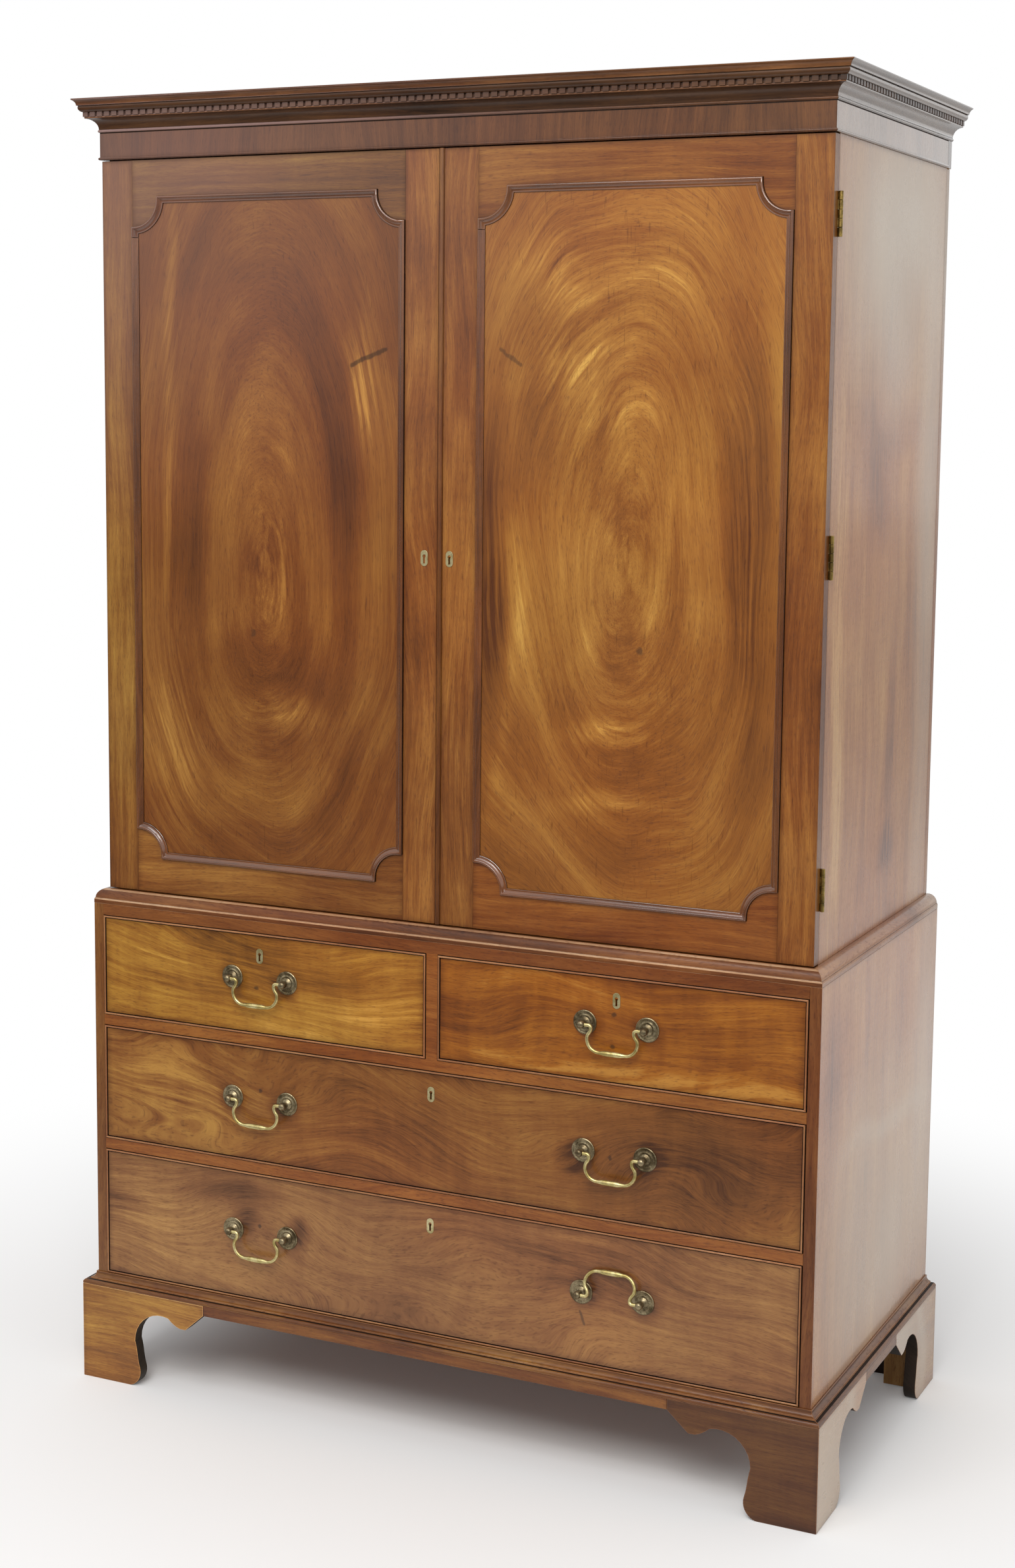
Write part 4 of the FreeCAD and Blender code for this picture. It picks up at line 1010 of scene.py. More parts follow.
class Finish(Enum):
    """Every finish of the press. What differs from a plainer finish is given as a change to it."""

    CARCASS = Wood("polished_mahogany", "48240e 76451a 916029 ac7d38", lobes=0.9, cloud=0.8)
    LEFT_SIDE = replace(
        CARCASS, name="left_side_mahogany", colours="48240e 76451a 9a6a34 b58a4a", polish=0.3, painted_sheen=0.2,
        contrast=0.6, cloud=0.3, lobes=0.6)
    # Painted sheen: a paler copy of the carcass for the right-hand side faces, with dark patches in the figure and pale
    # patches that are partly faded wood and partly painted reflection.
    SIDE = replace(
        CARCASS, name="side_mahogany_painted_sheen", colours="6b3c1e a46a38 b8824a cb9c62", contrast=0.8, polish=0.3, gloss=0.38,
        roughness=0.28, painted_sheen=0.0,
        patches=(Patch((107, -38), (90, 75), -0.55), Patch((190, 10), (46, 190), -0.4),
            Patch((-270, 55), (180, 28), -0.6), Patch((-441, 58), (46, 50), -0.7),
            Patch((-250, -220), (420, 40), 0.6)),
        fading_and_sheen=(Patch((480, 40), (250, 360), 0.9), Patch((0, 230), (700, 80), 0.5)))
    # Painted sheen: the same paler copy for the chest's right side and the feet's side boards, with its own patches.
    CHEST_SIDE = replace(
        SIDE, name="chest_side_mahogany_painted_sheen", patches=(Patch((170, -250), (120, 50), -0.5),), polish=0.42,
        fading_and_sheen=(Patch((-120, 20), (260, 330), 0.7), Patch((0, 260), (400, 90), 0.4), Patch((30, 60), (26, 260), 0.4)))
    DARK = replace(CARCASS, name="dark_mahogany", colours="2e1b0e 5e3a1e 784e2b 91653b", painted_sheen=0.04)
    DARK_X = replace(CARCASS, name="dark_mahogany_x", colours="24150b 442a17 573820 6c4a2c", source=Source.ALONG_X)
    SHADED = replace(CARCASS, name="shaded_mahogany", colours="22140a 412815 54361d 664629", painted_sheen=0.0)
    GLINTING = replace(CARCASS, name="glinting_mahogany", colours="2b190d 5c3a20 704928 875e37", painted_sheen=1.3)
    FRIEZE = replace(CARCASS, name="frieze_mahogany", colours="2e190c 502f17 674021 80542e", contrast=0.65, painted_sheen=0.26)
    # Painted sheen: a greyed, paler copy for the side faces of the frieze and cornice.
    VEILED = replace(
        CARCASS, name="grey_painted_sheen_mahogany", colours="463628 6b5543 7d6651 8f7861", painted_sheen=0.0, polish=1.0, gloss=0.7,
        roughness=0.26)
    # Dark finish for quirks, gaps, grooves and the edges of mouldings and plates: dirt, and painted shade.
    DIRT = replace(
        CARCASS, name="packed_dirt_and_painted_shade", colours="140b06 22140a 2e1c10 3c2818", painted_sheen=0.0, polish=0.0, gloss=0.2,
        roughness=0.6)
    # Painted shade: a near-black finish for the faces inside the feet.
    SOOTY = replace(
        CARCASS, name="foot_inside_painted_shade", colours="130d08 241810 33241a 443226", polish=0.0, gloss=0.25, roughness=0.5)
    MOULDING = replace(
        CARCASS, name="moulding_mahogany", colours="30170a 583216 704321 8a5830", painted_sheen=0.15, edge_dirt_and_shade=0.5,
        edge_dark_reach=2.0, polish=0.8, gloss=0.6, roughness=0.18)
    RED = replace(
        CARCASS, name="red_mahogany", colours="40200d 6f3f1d 87552b a06e3f", polish=0.12, gloss=0.28, roughness=0.36)
    # Pale edges and bead noses: wear, and painted highlights.
    WORN = replace(CARCASS, name="worn_mahogany_painted_highlight", colours="7a4a29 a36d42 b98658 cda075", edge_dirt_and_shade=0.1)
    # Paler still: painted highlights, with wear, along the waist moulding.
    RUBBED = replace(CARCASS, name="rubbed_mahogany_painted_highlight", colours="9a7155 bd936e ceaa87 dcbd9d", edge_dirt_and_shade=0.1)
    INSIDE = replace(CARCASS, name="plain_mahogany_x", source=Source.ALONG_X, contrast=0.7, polish=0.2)
    RAIL = replace(INSIDE, name="rail_mahogany", colours="48240e 7b4518 976028 b37e37", cloud=0.4)
    TOP_RAIL = replace(RAIL, name="top_rail_mahogany", colours="3e1d0b 683816 814d22 99662f", painted_sheen=0.0)
    LINING_X = Wood(
        "oak_lining_x", "6d4d2c 93713f a9895a b89a6c", source=Source.ALONG_X, contrast=0.7, polish=0.0,
        roughness=0.62, pores=0.5)
    LINING_Y = replace(LINING_X, name="oak_lining_y", source=Source.ALONG_Y)
    LINING_Z = replace(LINING_X, name="oak_lining_z", source=Source.ALONG_Z)
    BACK = replace(LINING_X, name="old_oak_back", colours="3a2a1b 5c4631 705841 836b52", source=Source.BOARD, painted_sheen=0.0)
    LEFT_PANEL = Wood(
        "oval_mahogany_left", "43220d 704018 8a5a25 b1823c", figure=Figure.OVAL, middle=(-86, -5),
        stretch=(0.34, 0.64), warp=0.018, lobes=1.3, lines=0.5, mottle=0.0, contrast=0.7, roughness=0.30, painted_sheen=0.24,
        marks=(Mark((264, 151), (287, 207), 5, 0.7), Mark((-149, -23), (-149, -23), 7, 0.5)),
        patches=(Patch((225, 158), (100, 26), 0.6), Patch((300, -164), (420, 14), 0.3),
            Patch((420, 0), (110, 240), -0.3), Patch((-270, 30), (36, 80), 0.5), Patch((-330, -165), (200, 50), 0.35),
            Patch((-60, 10), (120, 34), 0.35), Patch((-210, 10), (70, 130), -0.4), Patch((60, 140), (260, 26), -0.2),
            Patch((20, -120), (260, 30), -0.4)))
    RIGHT_PANEL = Wood(
        "oval_mahogany_right", "532b0f 84501d a06e2e c69848", figure=Figure.OVAL, middle=(-41, 0),
        stretch=(0.46, 0.60), warp=0.03, lobes=1.15, lines=0.5, mottle=0.0, contrast=0.7, roughness=0.30, polish=0.25,
        gloss=0.35,
        marks=(Mark((287, -203), (264, -171), 4, 0.5), Mark((-145, 22), (-145, 22), 8, 0.6)),
        patches=(Patch((381, -120), (80, 60), 0.5, -30), Patch((259, -88), (50, 90), 0.5, -25),
            Patch((180, -30), (40, 100), 0.3), Patch((-262, -17), (22, 70), 0.5), Patch((-364, -16), (20, 90), 0.4),
            Patch((-185, -176), (240, 16), 0.12, 8), Patch((-30, 0), (220, 110), 0.1),
            Patch((100, 180), (420, 50), -0.5), Patch((400, 30), (110, 120), 0.2),
            Patch((-40, -228), (320, 34), -0.6), Patch((-70, -10), (70, 60), -0.15),
            Patch((-150, 190), (300, 70), -0.25), Patch((-95, -205), (90, 26), -0.45)))
    TOP_LEFT_DRAWER = replace(
        DRAWER_WOOD, name="drawer_top_left", colours="48270f 8a581c a5752a c0903f",
        marks=(Mark((-6, -6), (-6, -6), 5, 0.7),),
        patches=(*rosette_halos_and_shade(0), Patch((165, 32), (50, 20), -0.4, 10), Patch((215, -25), (90, 24), 0.28, 8),
            Patch((-190, 10), (80, 60), 0.2)))
    TOP_RIGHT_DRAWER = replace(
        DRAWER_WOOD, name="drawer_top_right", colours="48270f 7c4714 965e1a ae7c33", mottle=0.5,
        marks=(Mark((-4, 24), (-4, 24), 5, 0.7), Mark((-6, -25), (-6, -25), 5, 0.7)),
        patches=(*rosette_halos_and_shade(0), Patch((40, -60), (300, 18), 0.4)))
    MIDDLE_DRAWER = replace(
        DRAWER_WOOD, name="drawer_middle", colours="48270f 7d4c20 94642d ae803b", warp=0.04,
        marks=(Mark((-303, 23), (-303, 23), 5, 0.7), Mark((297, 2), (297, 2), 5, 0.7)),
        patches=(*rosette_halos_and_shade(-303.25, 303.25), Patch((400, 0), (220, 110), -0.5), Patch((-450, 0), (170, 100), 0.4)))
    BOTTOM_DRAWER = replace(
        DRAWER_WOOD, name="drawer_bottom", colours="48270f 7f522d 95683a ab7e47", warp=0.03, polish=0.25, gloss=0.34,
        marks=(Mark((-305, 19), (-305, 19), 5, 0.7), Mark((252, -23), (259, -42), 3, 0.6)),
        patches=(*rosette_halos_and_shade(-303.25, 303.25), Patch((-380, 55), (100, 30), -0.5), Patch((-520, 0), (120, 100), 0.4)))
    BRASS = Brass("old_brass", "a48a4c", "6b5830", "2c2415")
    ROSETTE = Brass("tarnished_brass", "9a8c6e", "5c4f39", "2f2516", 0.8, 0.34)
    BAIL = Brass("handled_brass", "d6c890", "ac9a5e", "5b4c2a", 0.35, 0.28)
    KEY_PLATE = Brass("rubbed_brass", "ddd0a0", "b3a472", "5b4c2a", 0.4, 0.34)

    @cached_property
    def material(self) -> bpy.types.Material:
        """Make the finish's material, once."""
        return self.value.material()


# ---- how pieces are dressed and set in their places ----
def dress(piece: Piece, *finishes: Finish) -> Piece:
    """Give a piece its finishes.

    Args:
        piece: The piece.
        finishes: Its main finish, then those of the faces marked 1, 2 and so on.

    Returns:
        The same piece.
    """
    slots = piece.data.materials
    while len(slots) < len(finishes):
        slots.append(None)
    for number in range(len(slots)):
        slots[number] = finishes[min(number, len(finishes) - 1)].material
    return piece


def marked(piece: Piece, number: int, chosen: Callable[[bpy.types.MeshPolygon], bool]) -> Piece:
    """Mark some faces of a piece for another finish.

    Args:
        piece: The piece.
        number: The finish's number when the piece is dressed.
        chosen: Says whether a face is one of them.

    Returns:
        The same piece.
    """
    while len(piece.data.materials) <= number:
        piece.data.materials.append(None)
    for face in piece.data.polygons:
        if chosen(face):
            face.material_index = number
    return piece


def finished(piece: Piece, grain: Grain, *finishes: Finish, degrees: float = 35) -> Piece:
    """Smooth a wooden piece, write its grain on it, dress it and return it."""
    return dress(grain.lay(smoothed(piece, degrees)), *finishes)


def board(low: Spot, high: Spot, grain: Grain, finish: Finish, ease: float = 0.8) -> Piece:
    """Make a board between two corners, with its edges rounded so many millimetres wide."""
    return finished(eased(block(low, high), ease), grain, finish)


def ended(piece: Piece, *finishes: Finish) -> Piece:
    """Dress a board's left and right ends apart from the rest, and return it."""
    return dress(marked(piece, 1, lambda face: abs(face.normal.x) > 0.9), *finishes)


def dress_nodes(finish: Finish, *names: str) -> None:
    """Give nodes of the frame a better finish.

    Args:
        finish: The finish.
        names: The nodes' names.
    """
    for name in names:
        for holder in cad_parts[name].material_slots:
            holder.material = finish.material
        log.info("dressed node %s", name)


def place(piece: Piece, name: str, body: str, slot: str, node: str) -> None:
    """Name a finished piece and set it to ride on its body, in place of its node.

    Args:
        piece: The piece.
        name: Its name.
        body: The body that it rides on.
        slot: The record's material slot; it is not used.
        node: The node that it replaces.
    """
    piece.name = name
    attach(piece, body)
    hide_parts(node)
    log.info("made %s on %s, %d faces", name, body, len(piece.data.polygons))


# ---- the press, sub-assembly by sub-assembly ----
@dataclass(frozen=True)
class Levels:
    """The planes of the press that its sub-assemblies share."""

    half_chest: float = 615.0
    half_inside: float = 597.0
    half_cupboard: float = 596.0
    depth: float = 606.0
    foot_height: float = 142.5
    plinth_top: float = 159.5
    floor_top: float = 177.5
    bottom_opening_top: float = 389.5
    middle_opening: float = 406.5
    middle_opening_top: float = 597.5
    top_opening: float = 614.5
    top_opening_top: float = 779.5
    chest_top: float = 797.5
    waist_top: float = 820.5
    cupboard_top: float = 1978.5
    top: float = 2071.0
    door_front: float = 18.0
    door_back: float = 38.0
    cupboard_front: float = 38.3
    cupboard_rear: float = 588.0
    door_bottom: float = 822.0
    door_top: float = 1977.0
    handle_middle: float = 303.25
    hinge_axis: Flat = (599.5, 38.15)
    hinge_levels: tuple[float, ...] = (929.0, 1399.5, 1870.0)
    key_level: float = 1377.5


@dataclass
class MitredRuns:
    """A moulding along the front and back along both sides, mitred at the front corners."""

    name: str
    node: str
    section: Outline
    base: float
    half_width: float
    front: float
    rear: float
    finish: Finish
    side_finish: Finish
    bands: tuple[tuple[Wear, float, float], ...] = ()
    cross_grain: bool = False
    seed: float = 0.0
    tones: Spot = (1.0, 1.0, 1.0)
    extras: list[Piece] = field(default_factory=list)
    overrun: float = 5.0

    def make(self) -> None:
        """Make the three runs as one piece in place of their node."""
        spots, half = self.section.spots, self.half_width
        reach = max(across for across, _ in spots) + self.overrun
        front = drawn(spots, spot(-half - reach, self.front, self.base), -Y_AXIS, Z_AXIS,
                      X_AXIS * 2 * (half + reach) * MILLIMETRE)
        for side in (-1, 1):
            front = sawn(front, spot(side * half, self.front, 0), Vector((side, 1, 0)).normalized())
        right = drawn(spots, spot(half, self.front - reach, self.base), X_AXIS, Z_AXIS,
                      Y_AXIS * (self.rear - self.front + reach) * MILLIMETRE)
        right = sawn(right, spot(half, self.front, 0), Vector((-1, -1, 0)).normalized())
        # Marked faces: 1 takes the pale edge finish of wear and painted highlights, 2 the dark finish of dirt and
        # painted shade, 3 painted shade in the darker finish where the run is dark, and 4 the darker finish on dusty
        # tops.
        edges = {Finish.CARCASS: Finish.WORN, Finish.RED: Finish.RUBBED, Finish.DARK: Finish.GLINTING}
        runs = []
        for number, run in enumerate((front, right, mirror_image(right))):
            run = eased(run, 0.7, 2, 50, True)
            for wear, low, high in self.bands:
                marked(run, wear, lambda face: low < face.center.z / MILLIMETRE - self.base < high)
            along = Y_AXIS if number else X_AXIS
            directions = (Z_AXIS, along) if self.cross_grain else (along, Z_AXIS)
            grain = Grain(*directions, self.seed + number * 0.31, self.tones[number])
            main = self.side_finish if number else self.finish
            shade = Finish.SHADED if main is Finish.DARK else main
            runs.append(finished(run, grain, main, edges.get(main, main), Finish.DIRT, shade, Finish.SHADED,
                                 degrees=30))
        place(joined(runs + self.extras), self.name, "root", "mahogany_dark", self.node)


@dataclass
class Plinth:
    """The base moulding, the bracket feet and the apron between them."""

    levels: Levels
    reach: float = 18.5
    bracket: float = 20.0
    bracket_length: float = 233.0
    toe_width: float = 111.0
    toe_swell: float = 33.0
    toe_round: float = 19.0
    neck_width: float = 102.0
    neck_height: float = 78.0
    arch: Flat = (166.0, 126.0)
    lobe: Spot = (194.0, 112.5, 5.0)
    rear_length: float = 150.0
    corner_block: float = 46.0
    block_lift: float = 4.0
    glue_block: float = 22.0
    glue_length: float = 90.0

    def moulding(self) -> None:
        """Make the base moulding."""
        section = Outline(0, 0).line(self.reach, 0).line(self.reach, 1.5).bend((0, 1), 14.0, 6.5)
        section.line(9.25, 6.5).line(9.25, 8.5).bend((-1, 0), 2.5, 16.5).line(2.5, 18.0).line(0, 18.0)
        MitredRuns("base_moulding_runs", "base_moulding", section, self.levels.plinth_top, self.levels.half_chest, 0,
                   self.levels.depth, Finish.CARCASS, Finish.CARCASS, ((Wear.DIRTY, 6.4, 6.6),), seed=2.1,
                   tones=(0.78, 0.74, 0.84)).make()

    def shaped_outline(self) -> Outline:
        """Draw a bracket: toe, swell, neck, arch and lobe, up to the apron.

        Returns:
            The outline, from the foot's corner.
        """
        middle = ((self.toe_width + self.neck_width) / 2, (self.toe_swell + self.neck_height) / 2)
        lobe, height, half = self.lobe
        outline = Outline(0, 0, 9).line(self.toe_width - self.toe_round, 0)
        outline.bend((1, 0.25), self.toe_width, self.toe_swell).smooth(*middle)
        outline.smooth(self.neck_width, self.neck_height).bend((0, 1), *self.arch)
        outline.bend((1, -1), lobe - half, height).line(lobe + half, height)
        outline.line(self.bracket_length, self.levels.foot_height)
        return outline.line(self.bracket_length, self.levels.plinth_top).line(0, self.levels.plinth_top)

    def plain_outline(self) -> Outline:
        """Draw a rear foot's back board, cut straight on a slope.

        Returns:
            The outline, from the foot's corner.
        """
        outline = Outline(0, 0).line(self.neck_width, 0).line(self.neck_width, self.neck_height)
        outline.line(self.rear_length, self.levels.foot_height).line(self.rear_length, self.levels.plinth_top)
        return outline.line(0, self.levels.plinth_top)

    def bracket_board(self, outline: Outline, corner: Vector, along: Vector, inwards: Vector, seed: float,
                      tint: Flat) -> Piece:
        """Make one bracket board, mitred where it meets the other.

        Args:
            outline: The board's shape.
            corner: The foot's outer corner, in millimetres.
            along: The direction away from the corner.
            inwards: The direction into the press.
            seed: What sets its grain apart.
            tint: Its tone and warmth.

        Returns:
            The board.
        """
        made = drawn(outline.spots, spot(*corner), along, Z_AXIS, inwards * self.bracket * MILLIMETRE)
        made = sawn(made, spot(*corner), (inwards - along).normalized())
        # The faces inside the foot and its cut edges take a near-black finish as painted shade; the side boards take
        # the chest side's painted sheen and the front boards the carcass, each with pale edges of wear and painted
        # highlights.
        made = marked(eased(made, 1.0, 2, 40, True), Wear.DIRTY, lambda face: face.normal.dot(inwards) > -0.5)
        grain = Grain(along if along.x + along.y > 0 else -along, Z_AXIS, seed, *tint)
        return finished(made, grain, Finish.CARCASS if along.x else Finish.CHEST_SIDE, Finish.WORN, Finish.SOOTY,
                        degrees=32)

    def corner_blocks(self, corner: Vector, along: Vector, inwards: Vector) -> list[Piece]:
        """Make the square block behind a foot's corner and the two glue blocks beside it.

        Args:
            corner: The foot's outer corner, in millimetres.
            along: The direction of its front or back board.
            inwards: The direction of its side board.

        Returns:
            The three blocks.
        """
        start, top = corner + (along + inwards) * self.bracket, self.levels.plinth_top
        spans = [(start, (along + inwards) * self.corner_block, self.block_lift)]
        for first, second in ((along, inwards), (inwards, along)):
            run = first * self.glue_length + second * self.glue_block
            spans.append((start + first * self.corner_block, run, top - self.glue_block))
        made = []
        for begin, run, low in spans:
            (x_low, x_high), (y_low, y_high) = (sorted((near, near + far)) for near, far in zip(begin.xy, run.xy))
            made.append(board((x_low, y_low, low), (x_high, y_high, top), Grain(Z_AXIS, X_AXIS, 4.4, 0.7),
                              Finish.LINING_Z, 1.0))
        return made

    def foot(self, name: str, side: int, rear: bool, seed: float, tints: tuple[Flat, Flat]) -> None:
        """Make one foot from two boards and its blocks.

        Args:
            name: The foot's node.
            side: 1 for a foot on the right, -1 for one on the left.
            rear: Whether it is a rear foot.
            seed: What sets its grain apart.
            tints: The tone and warmth of its two boards.
        """
        along, inwards = X_AXIS * -side, Y_AXIS * (-1 if rear else 1)
        corner = Vector((side * (self.levels.half_chest + self.reach), self.levels.depth if rear else -self.reach, 0))
        outline = self.plain_outline() if rear else self.shaped_outline()
        boards = [self.bracket_board(outline, corner, along, inwards, seed, tints[0]),
                  self.bracket_board(self.shaped_outline(), corner, inwards, along, seed + 0.5, tints[1])]
        whole = joined(boards + self.corner_blocks(corner, along, inwards))
        place(whole, name + "_boards", "root", "mahogany", name)

    def apron(self) -> None:
        """Make the four rails between the feet."""
        half = self.levels.half_chest + self.reach
        low, high, rear = self.levels.foot_height, self.levels.plinth_top, self.levels.depth
        inner, rear_inner = half - self.bracket_length, half - self.rear_length
        side_low, side_high = self.bracket_length - self.reach, rear - self.bracket_length
        spans = [
            ((-inner, -self.reach), (inner, self.bracket - self.reach), Grain(X_AXIS, Z_AXIS, 5.2, 0.84, 0.25)),
            ((-rear_inner, rear - self.bracket), (rear_inner, rear), Grain(X_AXIS, Z_AXIS, 5.9, 0.7)),
            ((half - self.bracket, side_low), (half, side_high), Grain(Y_AXIS, Z_AXIS, 6.3, 0.8)),
            ((-half, side_low), (self.bracket - half, side_high), Grain(Y_AXIS, Z_AXIS, 6.8, 0.8)),
        ]
        rails = [board((*first, low), (*last, high), grain, Finish.CARCASS) for first, last, grain in spans]
        place(joined(rails), "apron_boards", "root", "mahogany", "apron_rails")

    def make(self) -> None:
        """Make the whole plinth."""
        self.moulding()
        self.foot("front_right_foot", 1, False, 1.3, ((0.41, 0.12), (1.08, -0.3)))
        self.foot("front_left_foot", -1, False, 3.1, ((1.68, -1.0), (1.2, 0)))
        self.foot("rear_right_foot", 1, True, 4.7, ((0.7, 0), (0.9, -0.3)))
        self.foot("rear_left_foot", -1, True, 7.9, ((0.7, 0), (0.9, 0)))
        self.apron()


@dataclass
class Chest:
    """The chest's sides, front rails and inner boards."""

    levels: Levels

    def make(self) -> None:
        """Make the sides and dress the rest."""
        levels = self.levels
        inner, outer, low, high = levels.half_inside, levels.half_chest, levels.plinth_top, levels.chest_top
        # The right side takes the paler finish of painted sheen, and its front edge the red finish.
        right = board((inner, 0, low), (outer, levels.depth, high), Grain(Z_AXIS, Y_AXIS, 8.2), Finish.CHEST_SIDE, 1.0)
        left = board((-outer, 0, low), (-inner, levels.depth, high), Grain(Z_AXIS, Y_AXIS, 9.4), Finish.LEFT_SIDE, 1.0)
        dress(marked(right, 1, lambda face: face.normal.y < -0.9), Finish.CHEST_SIDE, Finish.RED)
        place(joined([right, left]), "chest_side_boards", "root", "mahogany", "chest_sides")
        dress_nodes(Finish.RAIL, "drawer_rails")
        dress_nodes(Finish.TOP_RAIL, "chest_boards")
        dress_nodes(Finish.LINING_Y, "drawer_supports")


@dataclass
class Waist:
    """The moulding that hides the joint between chest and cupboard."""

    levels: Levels
    ledge: float = 19.0
    fillet: float = 8.5
    height: float = 23.0
    step: float = 1.5
    arris: float = 2.4
    gap: float = 0.3

    def make(self) -> None:
        """Make the moulding and the ledge behind it."""
        levels = self.levels
        inner, low = self.gap - self.ledge, levels.chest_top
        section = Outline(0, 0).line(0, self.fillet - self.arris).line(-self.arris / 3, self.fillet)
        section.line(-self.step, self.fillet).bend((0, 1), inner + self.step, self.height)
        section.line(inner, self.height).line(inner, 0)
        half = levels.half_cupboard + self.gap
        ledge = board((-half, self.ledge - self.gap, low), (half, levels.door_back, levels.waist_top),
                      Grain(X_AXIS, Y_AXIS, 1.1, 0.9), Finish.CARCASS, 0.3)
        # Painted highlights along the fillet and the top of the round, and a line of dirt and painted shade in the
        # quirk above the fillet; the side runs take the side's painted sheen.
        bands = ((Wear.DIRTY, 8.45, 8.7), (Wear.RUBBED, 6.3, 8.4), (Wear.RUBBED, 20.9, 22.9))
        MitredRuns("waist_moulding_runs", "waist_moulding", section, low, levels.half_chest, 0, levels.depth,
                   Finish.RED, Finish.SIDE, bands, seed=3.3, tones=(0.84, 0.86, 0.86), extras=[ledge]).make()


@dataclass
class Cornice:
    """The frieze, the cornice and its dentils."""

    levels: Levels
    half_frieze: float = 598.0
    frieze_front: float = 15.0
    frieze_board: float = 20.0
    bead: float = 2.2
    astragal: float = 42.1
    height: float = 92.5
    lid: float = 8.0
    lid_drop: float = 12.0

    def frieze(self) -> None:
        """Make the cross-grained frieze with the bead along its lower edge, its back and its lid."""
        levels, half, thick = self.levels, self.half_frieze, self.frieze_board
        section = Outline(0, 0).bend((1, 0), 0, 2 * self.bead).line(0, self.astragal - 1.5).line(0, self.height)
        section.line(-thick, self.height).line(-thick, 0)
        rear = levels.depth - thick
        lid_top = levels.top - self.lid_drop
        back = board((-half, rear, levels.cupboard_top), (half, levels.depth, levels.top),
                     Grain(X_AXIS, Z_AXIS, 2.7, 0.9), Finish.LINING_X)
        lid = board((thick - half, self.frieze_front + thick, lid_top - self.lid), (half - thick, rear, lid_top),
                    Grain(X_AXIS, Y_AXIS, 3.9, 0.9), Finish.LINING_X)
        # The frieze face just under the astragal takes a line of dirt and painted shade, and the top is dusty; the side
        # runs are lighter, in a grey painted sheen.
        MitredRuns("frieze_runs", "cornice_frieze", section, levels.cupboard_top, half, self.frieze_front, rear,
                   Finish.FRIEZE, Finish.VEILED, ((Wear.DIRTY, 60, 70), (Wear.DUSTY, 92.3, 92.7)), True, 5.5,
                   (1.0, 1.35, 1.35), [ended(back, Finish.LINING_X, Finish.VEILED), lid]).make()

    def moulding(self) -> None:
        """Make the astragal, hollow, dentil bed, round and cap."""
        section = Outline(0, self.astragal).bend((1, 0), 1.0, 46.5).line(1.0, 47.0).bend((0, 1), 17.0, 63.0)
        section.line(17.0, 65.5).line(13.5, 65.5).line(13.5, 72.5).line(19.0, 72.5).bend((1, 0.2), 23.7, 82.0)
        section.line(26.0, 82.0).bend((0, 1), 32.0, 90.5).line(32.0, self.height).line(0, self.height)
        # Dirt and painted shade under the astragal, in the quirks and behind the dentils; a painted glint on the
        # astragal; painted shade in the hollow and the round; dust on the top. The side runs take a grey painted sheen.
        bands = ((Wear.DIRTY, 41.9, 42.3), (Wear.DIRTY, 46.4, 47.2), (Wear.DIRTY, 65.4, 72.6),
                 (Wear.DIRTY, 81.9, 82.1), (Wear.DUSTY, 92.3, 92.7), (Wear.RUBBED, 42.6, 46.2),
                 (Wear.SHADED, 47.2, 63.5), (Wear.SHADED, 72.6, 81.9))
        MitredRuns("cornice_runs", "cornice_moulding", section, self.levels.cupboard_top, self.half_frieze,
                   self.frieze_front, self.levels.depth, Finish.DARK, Finish.VEILED, bands, seed=6.6,
                   tones=(1.05, 1.0, 1.0)).make()

    def make(self) -> None:
        """Make the frieze and the moulding and dress the dentils."""
        self.frieze()
        self.moulding()
        dress_nodes(Finish.DARK_X, "dentil_course")


